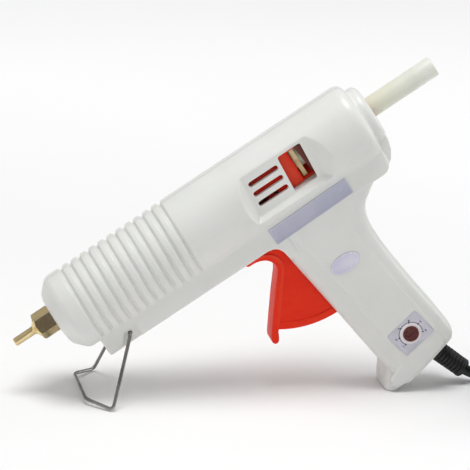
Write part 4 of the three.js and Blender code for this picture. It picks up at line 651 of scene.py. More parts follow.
# Handle, built up from a level section with a wide roll in front and a narrower one behind
handle_top = -26
handle_levels = [
    (-29.3, 51.3, 113.4), (-31.5, 51.4, 110.2), (-33.6, 51.5, 107.3), (-36, 51.6, 104),
    (-38.2, 51.75, 101.8), (-41.5, 51.95, 99.9), (-44.6, 52.3, 98.8), (-48.5, 52.85, 98),
    (-52.7, 53.4, 97.6), (-62.4, 54.8, 97.8), (-74, 56.35, 98.8), (-86.8, 58.05, 100.3),
    (-99, 59.65, 101.8), (-111.2, 61.25, 103.6), (-124, 62.9, 105), (-142, 65, 106.5),
]
handle_front = 51.2
handle_back = 117.5
handle_half = 12.85
front_width = 9
back_width = 8
roll_depth = 6.2
roll_y = handle_half - roll_depth
front_roll = roll(handle_front + front_width, roll_y, front_width, roll_depth, pi, handle_top)
back_roll = roll(handle_back - back_width, roll_y, back_width, roll_depth, pi / 2, handle_top)
handle = drawn_down("handle", [*front_roll, *back_roll], handle_front, handle_back, handle_levels)

# The lower end follows the sole, and the toe stands out in front of it
tilt = -atan2(-forward.z, -forward.x)
toe_x = 57.9
toe_z = -137.65
toe_front = (toe_x - 2 * cos(tilt), toe_z - 2 * sin(tilt))
toe_back = (toe_x + 2 * cos(tilt), toe_z + 2 * sin(tilt))
sole = outline("sole", [
    (45, -20), (45, -127.5), (62.5, -128.8), (62, -138.9), (70.3, -139), (78.8, -137.3), (87.1, -135.2),
    (98, -132), (101.2, -130.7), (103.4, -128.6), (104.6, -125.6), (104.8, -121.5), (135, -90), (135, -20),
], -half - 1, half + 1)
combined(handle, [sole], "INTERSECT")
toe_levels = [
    (-123.5, 64.5), (-127.2, 61.4), (-130, 59.3), (-132.8, 57.6), (-135.3, 56.3), (-137, 55.9), (-140, 55.7),
]
toe_top = -122
toe_start = 66
toe_depth = 14
toe_half = 11.4
toe_roll = 5
toe_side = roll(toe_start + toe_roll, toe_half - toe_roll, toe_roll, toe_roll, pi, toe_top)
toe_side.append((toe_start + toe_depth, toe_half, toe_top))
toe_levels = [(level, front, front + toe_depth) for level, front in toe_levels]
toe = drawn_down("toe", toe_side, toe_start, toe_start + toe_depth, toe_levels)
foot = outline("foot", [
    (85, -121), (50, -121), (50, toe_front[1] + (toe_front[0] - 50) * tan(-tilt)), toe_front, toe_back,
    (64, -139), (71.5, -138.8), (85, -138.8),
], -15, 15)
combined(toe, [foot], "INTERSECT")

# Side panels of the handle, raised a little between the front and the rear roll
panel = outline("panel", [
    (60.7, -24), (60.7, -35.8), (62.5, -44), (64.1, -52.5), (67.1, -70.5), (70.8, -102.3), (72.4, -118.4),
    (72.2, -124), (70.6, -127.4), (68.2, -128.8), (65.2, -129.4), (61.4, -131.5), (60.5, -134.6), (63, -137),
    (70, -137.6), (78.4, -135.9), (86.7, -133.8), (96.6, -130.9), (97.6, -129.4), (97.4, -127),
    (95.9, -111.8), (93.1, -91.7), (90.4, -64.1), (89.2, -53), (89.5, -45), (91.3, -38.8), (94.4, -33.8),
    (99, -30), (99, -24),
], -half, half)
rounded(panel, 0.45, 2, lambda a, b: abs(a.y - b.y) < 1 and a.z + b.z < -60)

# Rounded corner between the keel and the handle, over the trigger's pin
corner_line = [
    (45.2, -29.3), (46.6, -29.5), (47.9, -29.95), (49.1, -30.8), (49.96, -31.8), (50.7, -33.2),
    (51.3, -34.9),
]
corner = outline("corner", [*corner_line, (52.05, -39.3), (57, -39.3), (57, -25), (45.2, -25)], -13.2, 13.2)
rounded(corner, 0.9, 3, lambda a, b: abs(a.y - b.y) < 1 and max(a.x, b.x) < 53 and min(a.x, b.x) > 45.3)

body = combined(barrel, [keel, cap, cap_lower, handle, toe, panel, corner])
body.name = "casing_body"
modified(body, "REMESH", mode="VOXEL", voxel_size=0.45)
modified(body, "SMOOTH", factor=0.5, iterations=5)
modified(body, "DECIMATE", ratio=0.3)

# Hollow of both halves, 2.2 mm inside the outer form, with room left behind the window panel
room = lathe("room", [(-65.8, 0), (-65.8, 11.4), (-57.4, 19), (118.3, 19), (121.4, 15.4), (121.4, 0)], 64)
combined(room, [block("behind_panel", (44.9, -24, -14.1), (101.4, panel_y + wall, 24))], "DIFFERENCE")
keel_room = block("keel_room", (keel_x + wall, wall - half, keel_z + wall), (118.3, half - wall, 0))
handle_room = outline("handle_room", [
    (54.2, -20), (54.3, -39), (56.8, -59), (60.6, -87), (65.4, -123.5), (66.8, -134.6), (70.6, -136.3),
    (86.5, -132.7), (97.2, -129.4), (101, -127.3), (102.2, -123.5), (101.1, -111), (97.9, -87), (95.3, -62),
    (95.1, -52.5), (96.5, -43.2), (100.3, -35.4), (106, -30), (108, -20),
], -10.6, 10.6)


def long_corner(a, b):
    """True for a long edge up the front or the back of the handle's hollow."""
    at_end = max(a.x, b.x) < 66 or min(a.x, b.x) > 94
    return abs(a.y - b.y) < 1 and at_end and min(a.z, b.z) > -124 and (a - b).length > 4


rounded(handle_room, 3.6, 4, long_corner)
combined(room, [keel_room, handle_room])
combined(body, [room], "DIFFERENCE")

# Screw posts, pivot bosses, rails for the feed, pads behind the stand's pockets and small posts
screw_places = [
    (-47, -21.9), (14, -21.9), (115.8, -21.3), (107.8, 14.6), (91, -60), (98.6, -116.25), (68.1, -127.45),
]
stand_at = (-39.3, -24.6)
clamp_places = [(78.35, -122.22), (93.55, -122.22)]
board_places = [(69.6, -109.4), (90.4, -89.6)]
post_end = 12.4
small_post_r = 2.6
boss_y = 9.7
boss_half = 2.7
posts = [rod("post", 3.4, -post_end, post_end, x, z) for x, z in screw_places]
posts += [rod("boss", 3.3, way * boss_y - boss_half, way * boss_y + boss_half, *pivot_at) for way in (-1, 1)]
posts += [rod("clamp_post", small_post_r, -post_end, -seam, x, z) for x, z in clamp_places]
posts += [rod("board_post", small_post_r, 8.3, post_end, x, z) for x, z in board_places]
posts.append(block("rail", (52, -14.4, -10.7), (92, -6.6, -8.3)))
posts.append(block("rail", (52, 6.6, -10.7), (92, 17.6, -8.3)))
for way in (-1, 1):
    posts.append(beside("pad", way * 11.3, 1.7, (-49.7, -27.6), (-32.3, -19.5)))
combined(body, posts)

# Everything that both halves are cut for
screw_head_at = 9.5
cuts = [rod("pin_hole", 2.3, -post_end, post_end, *pivot_at), rod("wire_hole", 1.25, -14, 14, *stand_at)]
cuts.append(rod("spring_room", 4.8, 6.7, 9.9, *pivot_at))
cuts += [rod("screw_hole", 1.6, -7.8, 15, x, z) for x, z in screw_places]
cuts += [rod("screw_seat", 3, screw_head_at - clearance, 24, x, z, 48) for x, z in screw_places]
cuts += [rod("clamp_hole", 1.5, -9.2, 2, x, z) for x, z in clamp_places]
cuts += [rod("board_hole", 1.3, 6.4, 11.3, x, z) for x, z in board_places]
cuts.append(lathe("nozzle_bore", [(-70, 0), (-70, 7.5), (-63.6, 7.5), (-63.6, 0)], 64, bore_z))
cuts.append(lathe("rear_bore", [
    (119.4, 0), (119.4, 11.7), (124.7, 11.7), (124.7, 9.7), (132, 9.7), (132, 0),
], 64, bore_z))
boot_room = lathe("boot_room", [(-9.3, 0), (-9.3, 7.1), (-6.7, 7.1), (-6.7, 5.75), (16, 5.75), (16, 0)], 64)
cuts.append(placed(boot_room, boot_turn))
cuts.append(outline("trigger_slot", [
    (29.4, -25.1), (29.4, -32), (44, -32), (49.6, -42), (49.6, -84.3), (65.2, -84.3), (65.2, -25.1),
], -6.9, 6.9))
pocket = [(-41.8, -21.5), (-47.7, -30.3), (-34.3, -30.3), (-34.3, -21.5)]
cuts += [outline("pocket", pocket, way * 13.55 - 1.95, way * 13.55 + 1.95) for way in (-1, 1)]
tool_cuts = combined(cuts[0], cuts[1:])


def rounded_shape(width, height, corner, x, z, turn=0):
    """Points of a rounded rectangle about a place, turned by an angle."""
    points = []
    for right, up, start in ((1, -1, -pi / 2), (1, 1, 0), (-1, 1, pi / 2), (-1, -1, pi)):
        for i in range(7):
            angle = start + i * pi / 12
            across = right * (width / 2 - corner) + corner * cos(angle)
            along = up * (height / 2 - corner) + corner * sin(angle)
            turned_x = across * cos(turn) - along * sin(turn)
            turned_z = across * sin(turn) + along * cos(turn)
            points.append((x + turned_x, z + turned_z))
    return points


# Near side only: three slots and the window, the seat of the dial plate and the dial's hole
dial_at = (84.1, -114.5)
plate_turn = 0.2
plate_width = 20.3
plate_height = 16.3
lean = 0.07
near_cuts = []
for i in range(3):
    z = 9.2 - i * 6
    near_cuts.append(outline("slot", rounded_shape(18.2, 3.1, 1.5, 63.1 + lean * z, z), -18, -11))
window = rounded_shape(14, 21.8, 1.2, 81.2, 0)
near_cuts.append(outline("window", [(x + lean * z, z + 2.9) for x, z in window], -18, -11))
seat = rounded_shape(plate_width + clearance, plate_height + clearance, 1.1, *dial_at, plate_turn)
near_cuts.append(outline("plate_seat", seat, -16, -13.2))
near_cuts.append(rod("dial_hole", 5.1, -16, -9.5, *dial_at, 64))


def white_plastic_nodes(shade):
    cloud = shade.noise(26, 2).between(0.3, 0.7)
    specks = shade.noise(1500, 2, 0.7).between(0.62, 0.75)
    handled = shade.noise(60, 4, 0.6).between(0.5, 0.8)
    body_tone = cloud.mixed((0.74, 0.745, 0.715), (0.77, 0.775, 0.75))
    soiled = (handled * 0.18 + specks * 0.12).mixed(body_tone, (0.62, 0.61, 0.56))
    worn = shade.edge_wear(0.51, 0.56)
    fine = shade.noise(6500, 2)
    broad = shade.noise(90, 2)
    return {
        "Base Color": (worn * 0.35).mixed(soiled, (0.84, 0.84, 0.82)),
        "Roughness": handled * 0.1 + cloud * 0.05 + 0.33,
        "Normal": shade.bump(broad, 0.0003, 0.25, shade.bump(fine, 0.00003, 0.35)),
        "Specular IOR Level": 0.5,
        "Coat Weight": 0.12,
        "Coat Roughness": 0.2,
        "Subsurface Weight": 0.06,
        "Subsurface Scale": 0.002,
    }


white_plastic = finish("white_plastic", white_plastic_nodes)


def copied(piece, name):
    """A copy with its own mesh."""
    alone(piece)
    bpy.ops.object.duplicate(linked=False)
    twin = bpy.context.object
    twin.name = name
    return twin


far_half = copied(body, "casing_far_half")
near_half = body
near_half.name = "casing_near_half"
combined(near_half, [block("side", (-75, -40, -150), (140, -seam, 40))], "INTERSECT")
combined(far_half, [block("side", (-75, seam, -150), (140, 40, 40))], "INTERSECT")
combined(far_half, [copied(tool_cuts, "cuts")], "DIFFERENCE")
combined(near_half, [tool_cuts, *near_cuts], "DIFFERENCE")
for piece, node in ((near_half, "left_casing"), (far_half, "right_casing")):
    dressed(piece, white_plastic, "tool", "white_plastic", node, angle=38)


# Casing screws. Seven pan-headed self-tapping screws of zinc-plated steel, driven in from the far side
# through the posts of one half into those of the other. Each has a cross in its head.
crosswise = Matrix.Rotation(pi / 2, 4, "Z")


def turned_across(name, profile, steps, x, z):
    """A profile of (depth, radius) points spun about a line across the tool."""
    return placed(lathe(name, profile, steps), Matrix.Translation((x, 0, z)) @ crosswise)


screw_tip = -7.2
shank_r = 1.3
root_r = shank_r * 0.74
thread_pitch = 0.9
thread_start = screw_tip + 1.3
thread_end = screw_head_at - 2.2
head_r = 2.65
head_t = 1.75
head_top = screw_head_at + head_t
screw_line = [(screw_tip, 0), (screw_tip + 0.9, shank_r * 0.55)]
for i in range(int((thread_end - thread_start) / thread_pitch)):
    depth = thread_start + i * thread_pitch
    screw_line += [(depth, root_r), (depth + 0.35, shank_r), (depth + 0.5, shank_r), (depth + 0.8, root_r)]
screw_line += [
    (thread_end, shank_r * 0.8), (screw_head_at, shank_r * 0.8), (screw_head_at, head_r - 0.12),
    (screw_head_at + 0.12, head_r), (screw_head_at + head_t * 0.45, head_r),
    (screw_head_at + head_t * 0.8, head_r * 0.8), (head_top, head_r * 0.45), (head_top, 0),
]
first_screw = turned_across("far_side_screw_1", screw_line, 28, 0, 0)
cross_arm = head_r * 0.58
cross_half = 0.32
for x, z in ((cross_arm, cross_half), (cross_half, cross_arm)):
    drive = block("drive", (-x, head_top - head_t * 0.6, -z), (x, head_top + 1, z))
    combined(first_screw, [drive], "DIFFERENCE")
zinc_steel = bright_metal("zinc_steel", (0.52, 0.53, 0.52), (0.38, 0.37, 0.33), 0.28)
screws = [first_screw, *[copied(first_screw, f"far_side_screw_{i}") for i in range(2, 8)]]
for i, (piece, (x, z)) in enumerate(zip(screws, screw_places)):
    screw_place = tipped @ Matrix.Translation((x, 0, z))
    dressed(piece, zinc_steel, "tool", "zinc_steel", f"casing_screw_{i + 1}", matrix=screw_place)


# Nozzle. Turned and bored from one piece of hexagon brass bar, screwed into the front of the melt
# chamber through the hole in the nose. A copper washer seals it. One flat has a painted dark reflection.
def brass_nodes(shade):
    turned = shade.noise(900, 3, 0.6, (0.15, 1, 1))
    tarnish = shade.noise(240, 4, 0.6).between(0.4, 0.75)
    worn = shade.edge_wear(0.505, 0.56)
    aged = tarnish.mixed((0.76, 0.60, 0.31), (0.62, 0.46, 0.22))
    off_axis = shade.vector_maths("SUBTRACT", shade.here(), tuple(painted_flat_at))
    out_by = shade.vector_maths("DOT_PRODUCT", off_axis, tuple(painted_flat_way), out=1)
    # The flat that faces the near side is painted dark brown: a painted reflection on the aged brass.
    painted_reflection = out_by.between(0.00628, 0.00646) * (tarnish * 0.1 + 0.9)
    stained = painted_reflection.mixed(aged, (0.17, 0.105, 0.06))
    return {
        "Base Color": (worn * 0.22).mixed(stained, (0.86, 0.74, 0.46)),
        "Metallic": 1.0,
        "Roughness": tarnish * 0.1 + turned * 0.06 + 0.14,
        "Normal": shade.bump(turned, 0.00003, 0.5),
    }


def kept(material, *nodes):
    """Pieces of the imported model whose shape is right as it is, with a better finish."""
    for node in nodes:
        for part in frame["nodes"][node].material_slots:
            part.material = material


hexagon_end = -78.2
hexagon_start = -68.3
hexagon_r = 6.5
hexagon_turn = 0.185
bpy.ops.object.select_all(action="DESELECT")
bpy.ops.mesh.primitive_cylinder_add(
    vertices=6, radius=hexagon_r / cos(pi / 6), depth=hexagon_start - hexagon_end, rotation=(0, pi / 2, 0),
    location=((hexagon_end + hexagon_start) / 2, 0, 0),
)
nozzle = bpy.context.object
nozzle.name = "nozzle_turned"
on_axis = Matrix.Translation((0, 0, bore_z)) @ Matrix.Rotation(hexagon_turn, 4, "X")
placed(nozzle, on_axis @ nozzle.matrix_world)
# A point on the axis and the outward way of the near flat, which carries the painted dark reflection
painted_flat_at = tipped @ Vector((0, 0, bore_z))
near_flat = min(nozzle.data.polygons, key=lambda flat: flat.normal.y - 0.1 * flat.normal.z)
painted_flat_way = (tip.to_3x3() @ near_flat.normal).normalized()
brass = finish("brass", brass_nodes)
corners = lathe("corners", [
    (hexagon_end - 0.1, 0), (hexagon_end - 0.1, hexagon_r), (hexagon_end + 1, 8), (hexagon_start - 0.8, 8),
    (hexagon_start + 0.1, 6.9), (hexagon_start + 0.1, 0),
], 64, bore_z)
combined(nozzle, [corners], "INTERSECT")
spout = lathe("spout", [
    (-92.7, 0), (-92.7, 1.55), (-92.45, 2), (-92, 2.25), (-81.4, 2.3), (-80.7, 2.5), (-80, 3.1),
    (-79.2, 4.4), (-78.5, 5.4), (-77, 5.6), (-69, 5.6), (-69, 3.1), (-58.4, 3.1), (-57.8, 2.6), (-57.8, 0),
], 64, bore_z)
combined(nozzle, [spout])
bore = lathe("bore", [(-94, 0), (-94, 1.25), (-92.3, 1), (-57, 1), (-57, 0)], 32, bore_z)
combined(nozzle, [bore], "DIFFERENCE")
rounded(nozzle, 0.14, 2, angle=28)
dressed(nozzle, brass, "tool", "brass", "nozzle")
kept(bright_metal("copper", (0.72, 0.36, 0.22), (0.42, 0.2, 0.13), 0.3), "nozzle_washer")


# Melt chamber with its heater. A die-cast aluminium block in the barrel, flanked by two ceramic heater
# plates that spring clips press on, and held away from the plastic by two phenolic rings.
def cast_aluminium_nodes(shade):
    skin = shade.noise(1400, 4, 0.65)
    scorched = shade.noise(90, 3).between(0.45, 0.8)
    return {
        "Base Color": scorched.mixed((0.6, 0.6, 0.59), (0.36, 0.33, 0.28)),
        "Metallic": 0.9,
        "Roughness": skin * 0.2 + 0.42,
        "Normal": shade.bump(skin, 0.00012, 0.7),
    }


def dull(name, colour, stained, rough, grain_scale=2200, depth=0.00006, stretch=(1, 1, 1)):
    """A matt surface with a fine grain and soft stains."""

    def nodes(shade):
        grain = shade.noise(grain_scale, 3, 0.6, stretch)
        stain = shade.noise(150, 3, 0.6).between(0.4, 0.75)
        return {
            "Base Color": (stain * 0.8 + grain * 0.15).mixed(colour, stained),
            "Roughness": grain * 0.12 + rough,
            "Normal": shade.bump(grain, depth, 0.6),
        }

    return finish(name, nodes)


kept(finish("cast_aluminium", cast_aluminium_nodes), "melt_chamber")
ceramic = dull("ceramic", (0.8, 0.77, 0.68), (0.55, 0.48, 0.38), 0.6)
kept(ceramic, "heater_plate_upper", "heater_plate_lower")
phenolic = dull("phenolic", (0.3, 0.17, 0.08), (0.16, 0.09, 0.045), 0.48, 1500, 0.00008, (1, 6, 1))
kept(phenolic, "chamber_support_front", "chamber_support_rear")
kept(steel, "heater_clip_1", "heater_clip_2", "sleeve_clamp")


# Rubber parts on the stick's way. A red silicone sleeve guides the stick into the melt chamber, and a
# collar of the same rubber centres it in the rear opening.
red_silicone = dull("red_silicone", (0.42, 0.045, 0.03), (0.3, 0.03, 0.022), 0.5)
kept(red_silicone, "stick_sleeve", "stick_collar")


# Trigger. One moulding in red nylon: a rounded finger bar in front, a thinner fan behind it with a
# rim along its arc, a short lip under the keel, and a forked arm above the pin that works the link.
def red_plastic_nodes(shade):
    cloud = shade.noise(50, 2).between(0.3, 0.7)
    flow = shade.noise(200, 3, 0.55, (1, 1, 3)).between(0.45, 0.7)
    fine = shade.noise(5200, 2)
    worn = shade.edge_wear(0.51, 0.57)
    body_tone = cloud.mixed((0.82, 0.02, 0.002), (0.86, 0.028, 0.004))
    return {
        "Base Color": (worn * 0.5 + flow * 0.08).mixed(body_tone, (0.87, 0.11, 0.055)),
        "Roughness": flow * 0.08 + cloud * 0.05 + 0.36,
        "Normal": shade.bump(fine, 0.00003, 0.5),
        "Specular IOR Level": 0.16,
        "Subsurface Weight": 0.05,
        "Subsurface Scale": 0.002,
    }


red_plastic = finish("red_plastic", red_plastic_nodes)
trigger_half = 6.4
fan_r = 54.5
fan_front = -36
fan_back = 8
pivot_x, pivot_z = pivot_at


def fan_point(radius, angle):
    """A place so far from the trigger's pin, at so many degrees behind straight down."""
    turn = radians(angle)
    return (pivot_x + radius * sin(turn), pivot_z - radius * cos(turn))


def fan_arc(radius, start, end, steps):
    """Places about the trigger's pin, from one angle to another."""
    return [fan_point(radius, start + (end - start) * i / steps) for i in range(steps + 1)]


bar_front = between([
    (30.3, -32.2), (31.6, -33.5), (35.4, -33.7), (38.6, -34.6), (41.2, -36.2), (42.9, -38.4), (43.6, -41),
    (43.2, -43.8), (41.8, -46.4), (38.5, -50.6), (33.2, -57.6), (26.8, -66.4), (22.5, -72.4), (20.5, -75.4),
    (19.9, -77.7), (20.5, -79.2), (21.8, -79.7), (23.2, -79), (24.4, -77.2), (26.2, -73.4),
], 3)
bar_back = between([
    (30.6, -67.4), (37.1, -58.5), (43.2, -50.2), (46.2, -45.6), (47.6, -41.8), (47.2, -38), (45.2, -34.8),
    (42.2, -32.6), (38.6, -31.5), (34, -31.4),
], 3)
finger_bar = outline("trigger_moulding", [*bar_front, *bar_back], -trigger_half, trigger_half)


def along_front(a, b):
    """True for an edge that lies on the finger's side of the bar."""
    off = [min(hypot(p.x - spot.x, p.z - spot.y) for spot in bar_front) for p in (a, b)]
    return abs(a.y - b.y) < 1 and max(off) < 0.01


def along_sides(a, b):
    """True for an edge round one of the bar's two flat sides."""
    return abs(a.y - b.y) < 1 and abs(a.y) > trigger_half - 0.01 and (a - b).length > 0.3


def bar(name, start, end, half_width, near, far):
    """A flat bar between two places, square at both ends."""
    aside = Vector((start.y - end.y, end.x - start.x)).normalized() * half_width
    return outline(name, [start - aside, end - aside, end + aside, start + aside], near, far)


rounded(finger_bar, 2.6, 6, along_front)
rounded(finger_bar, 0.45, 2, along_sides)
web_half = 5.6
web = outline("web", [
    (36, -32.3), (40, -33.5), (44, -37.5), (45, -43), (42.5, -49.5), (25.6, -71.8),
    *fan_arc(fan_r - 2, fan_front, fan_back, 12),
    fan_point(6, 48), (pivot_x + 6, pivot_z + 3), (pivot_x - 3, pivot_z + 4.8), (46.4, -30.6), (38, -31),
], -web_half, web_half)
rim_line = fan_arc(fan_r, fan_front - 1.4, fan_back, 24)
rim_line += fan_arc(fan_r - 4, fan_back, fan_front, 24)
rim = outline("rim", rim_line, -6.2, 6.2)
rounded(rim, 0.55, 3, lambda a, b: abs(a.y - b.y) < 1 and (a - b).length > 0.6)
hub = rod("hub", 6, -trigger_half, trigger_half, pivot_x, pivot_z, 48)
rounded(hub, 0.4, 2, angle=50)
pin_at = Vector(pivot_at)
arm_at = Vector((62.56, -9.44))
arm_way = (arm_at - pin_at).normalized()
arm_half = 4.9
eye_r = 3.2
arm = bar("arm", pin_at, arm_at, eye_r, -arm_half, arm_half)
arm_eye = rod("arm_eye", eye_r, -arm_half, arm_half, *arm_at)
combined(finger_bar, [web, rim, hub, arm, arm_eye])
fork = bar("fork", pin_at + arm_way * 7.9, arm_at + arm_way * 7, 7, -1.9, 1.9)
holes = [fork, rod("hole", 2.3, -8, 8, *pivot_at), rod("hole", 1.7, -8, 8, *arm_at)]
combined(finger_bar, holes, "DIFFERENCE")
dressed(finger_bar, red_plastic, "trigger_body", "red_plastic", "trigger", angle=32)


# Feed. The trigger's arm pulls a steel link, which pushes the red carriage forward along its rails. A
# hinged plate at the back of the carriage cants and bites into the stick, and lets go on the way back.
# A flat dark brown-red plate on the carriage's near side, behind that plate, is painted shade.
kept(steel, "trigger_pin", "arm_pin", "drive_link", "carriage_pin", "grip_pin")
carriage = lathe("carriage_moulding", [
    (53, 6), (53, 8.6), (53.4, 9), (81, 9), (81.3, 8.7), (81.3, 6),
], 64, bore_z, closed=True)
link_pin_at = (77.56, arm_at.y)
grip_pin_at = (83.05, 13.6)
cheek_x = 72.1
cheek_y = 9.1
added = []
for way in (-1, 1):
    shoe = beside("shoe", way * 6.95, 2.05, (66, -8), (81.3, -2))
    lug = beside("lug", way * 3.4, 1.5, (74, -12.6), (81.1, -3.6))
    low_ear = 10.9 if way < 0 else -7.5
    low_cheek = -7.9 if way < 0 else -1
    ear_end = 85.35 if way < 0 else 91
    ear = beside("ear", way * cheek_y, 1, (cheek_x, low_ear), (ear_end, 15.9))
    cheek = beside("cheek", way * cheek_y, 1, (cheek_x, low_cheek), (80.8, 15))
    added += [rounded(piece, 0.5, 3) for piece in (shoe, lug, ear, cheek)]
added.append(rounded(block("tray", (80.5, -8.9, -8), (91, 9.5, -6.9)), 0.3, 2))
combined(carriage, added)
cut_for_feed = [
    lathe("stick_way", [(50, 0), (50, 5.95), (93, 5.95), (93, 0)], 64, bore_z),
    block("arm_room", (50, -9.5, -16), (66.4, 9.5, -5.2)),
    block("link_room", (65, -1.9, -14.2), (82.5, 1.9, -4.7)),
    rod("pin_hole", 1.6, -12, 12, *link_pin_at),
    rod("grip_hole", 1.3, -12, 12, *grip_pin_at),
]
combined(carriage, cut_for_feed, "DIFFERENCE")
dressed(carriage, red_plastic, "carriage_body", "red_plastic", "feed_carriage", angle=32)
# A dark brown-red plate seen through the window behind the grip plate: painted shade.
shade_plate = outline("painted_shade_plate", [(85.1, 12.5), (86.95, -6.9), (91, -6.9), (91, 12.5)], -8.3, -6.2)
rounded(shade_plate, 0.3, 3)
painted_shade_red = dull("painted_shade_red", (0.2, 0.035, 0.02), (0.13, 0.022, 0.014), 0.42)
dressed(shade_plate, painted_shade_red, "carriage_body", "dark_red_plastic")


def tan_metal_nodes(shade):
    rolled = shade.noise(900, 3, 0.6, (1, 1, 8))
    film = shade.noise(180, 3).between(0.4, 0.7)
    return {
        "Base Color": film.mixed((0.74, 0.58, 0.32), (0.56, 0.41, 0.2)),
        "Metallic": 0.45,
        "Roughness": rolled * 0.15 + 0.36,
        "Normal": shade.bump(rolled, 0.00004, 0.5),
    }


kept(finish("yellow_zinc", tan_metal_nodes), "grip_plate")


# Return spring. Music wire wound in three turns round the far pivot boss, with one leg up against the
# casing, which turns the trigger back forward.
spring_r = 4.05
spring_wire = 0.32
spring_turns = 3
spring_steps = 96
spring_start = 7.25
spring_end = 9.4
coil = []
for i in range(spring_steps + 1):
    share = i / spring_steps
    turn = share * spring_turns * 2 * pi
    y = spring_start + share * (spring_end - spring_start)
    coil.append((pivot_x + spring_r * cos(turn), y, pivot_z + spring_r * sin(turn)))
coil += [(pivot_x + spring_r, spring_end, pivot_z + leg) for leg in (2, 6.5)]


def wire(name, points, radius, sides=3):
    """A round wire along points, as a closed mesh."""
    alone(curve_along(name, points, radius, sides))
    bpy.ops.object.convert(target="MESH")
    return mend(bpy.context.object)


dressed(wire("return_spring_wound", coil, spring_wire), steel, "tool", "steel", "return_spring", angle=60)


# Glue stick. Clear milky hot-melt glue, extruded round and cut off square, a little waxy. It is yellower
# where it has been warm, near the tool.
def glue_nodes(shade):
    along = shade.node("SeparateXYZ", None, {"Vector": shade.here()})
    warm = along.between(0.085, 0.056)
    drawn = shade.noise(260, 3, 0.6, (0.3, 1, 1))
    clouds = shade.noise(70, 3).between(0.35, 0.7)
    tone = clouds.mixed((0.68, 0.69, 0.63), (0.63, 0.635, 0.57))
    return {
        "Base Color": (warm * 0.6).mixed(tone, (0.66, 0.65, 0.48)),
        "Roughness": drawn * 0.16 + 0.3,
        # A faint glow in the stick's own colours: painted light that lifts its shaded side.
        "Emission Color": (warm * 0.6).mixed((0.7, 0.71, 0.65), (0.68, 0.67, 0.48)),
        "Emission Strength": 0.1,
        "Normal": shade.bump(drawn, 0.00015, 0.4),
        "Subsurface Weight": 0.3,
        "Subsurface Scale": 0.002,
        "Subsurface Radius": (1, 0.95, 0.8),
        "Specular IOR Level": 0.42,
    }


glue = finish("glue", glue_nodes)
stick_r = 5.6
stick = lathe("glue_stick_cut", [
    (16, 0), (16, stick_r - 0.7), (16.3, stick_r - 0.15),
    *[(x, stick_r) for x in (17, 40, 65, 90, 115, 140, 160, 169.6)],
    (170.1, stick_r - 0.12), (170.3, stick_r - 0.4), (170.15, stick_r - 1.4), (170.05, 2), (170.1, 0),
], 64, bore_z)
dressed(stick, glue, "stick_body", "glue", "glue_stick", angle=50)


# Wire stand. One length of bright steel wire bent into a wide loop, its two ends sprung into holes in
# the keel, so it turns there and folds back along the keel.
def bent(points, radius):
    """The line through the points with its corners rounded."""
    spots = [Vector(point) for point in points]
    line = [spots[0]]
    for before, here, after in zip(spots, spots[1:], spots[2:]):
        back = (before - here).normalized()
        on = (after - here).normalized()
        reach = min(radius, (before - here).length * 0.45, (after - here).length * 0.45)
        start = here + back * reach
        end = here + on * reach
        for i in range(9):
            share = i / 8
            line.append(start * (1 - share) ** 2 + here * 2 * share * (1 - share) + end * share**2)
    return [*line, spots[-1]]


wire_r = 0.95
stand_x, stand_z = stand_at
stand_side = [
    (stand_x, 8.45, stand_z), (stand_x, 13.05, stand_z), (-68.7, 29.3, -48.2), (-77.7, 18.1, -39.2),
]
stand_line = [*stand_side, *[(x, -y, z) for x, y, z in reversed(stand_side)]]
stand = wire("stand_bent", bent(stand_line, 3), wire_r, 4)
bright_wire = bright_metal("bright_wire", (0.33, 0.32, 0.3), (0.19, 0.185, 0.175), 0.05, 300)
dressed(stand, bright_wire, "stand_body", "steel", "wire_stand", angle=60)


# Heat dial with its plate. A dark red knob with a screwdriver slot turns in a white ring on a pale
# lilac plate, which is glued in a shallow seat and has plain numbers one to six along a printed arc.
def pale_lilac_nodes(shade):
    cloud = shade.noise(160, 3).between(0.35, 0.7)
    fine = shade.noise(4000, 2)
    knob = tipped @ Vector((dial_at[0], -13.9, dial_at[1]))
    away = shade.vector_maths("DISTANCE", shade.here(), tuple(knob), out=1)
    ring = away.between(0.0062, 0.0057)
    ground = cloud.mixed((0.58, 0.57, 0.64), (0.64, 0.62, 0.71))
    return {
        "Base Color": ring.mixed(ground, (0.84, 0.78, 0.78)),
        "Roughness": cloud * 0.1 + 0.28,
        "Normal": shade.bump(fine, 0.00002, 0.5),
    }


def dark_red_nodes(shade):
    cloud = shade.noise(300, 3).between(0.35, 0.7)
    turned = shade.noise(2200, 2)
    worn = shade.edge_wear(0.51, 0.56)
    tone = cloud.mixed((0.075, 0.008, 0.008), (0.1, 0.011, 0.011))
    return {
        "Base Color": (worn * 0.4).mixed(tone, (0.22, 0.035, 0.03)),
        "Roughness": cloud * 0.1 + 0.22,
        "Normal": shade.bump(turned, 0.00003, 0.4),
        "Specular IOR Level": 0.3,
        "Coat Weight": 0.1,
        "Coat Roughness": 0.1,
    }


def ink_nodes(shade):
    patchy = shade.noise(1800, 3).between(0.35, 0.75)
    return {
        "Base Color": patchy.mixed((0.02, 0.02, 0.045), (0.05, 0.05, 0.1)),
        "Roughness": patchy * 0.15 + 0.4,
        "Normal": shade.bump(patchy, 0.00001, 0.3),
    }


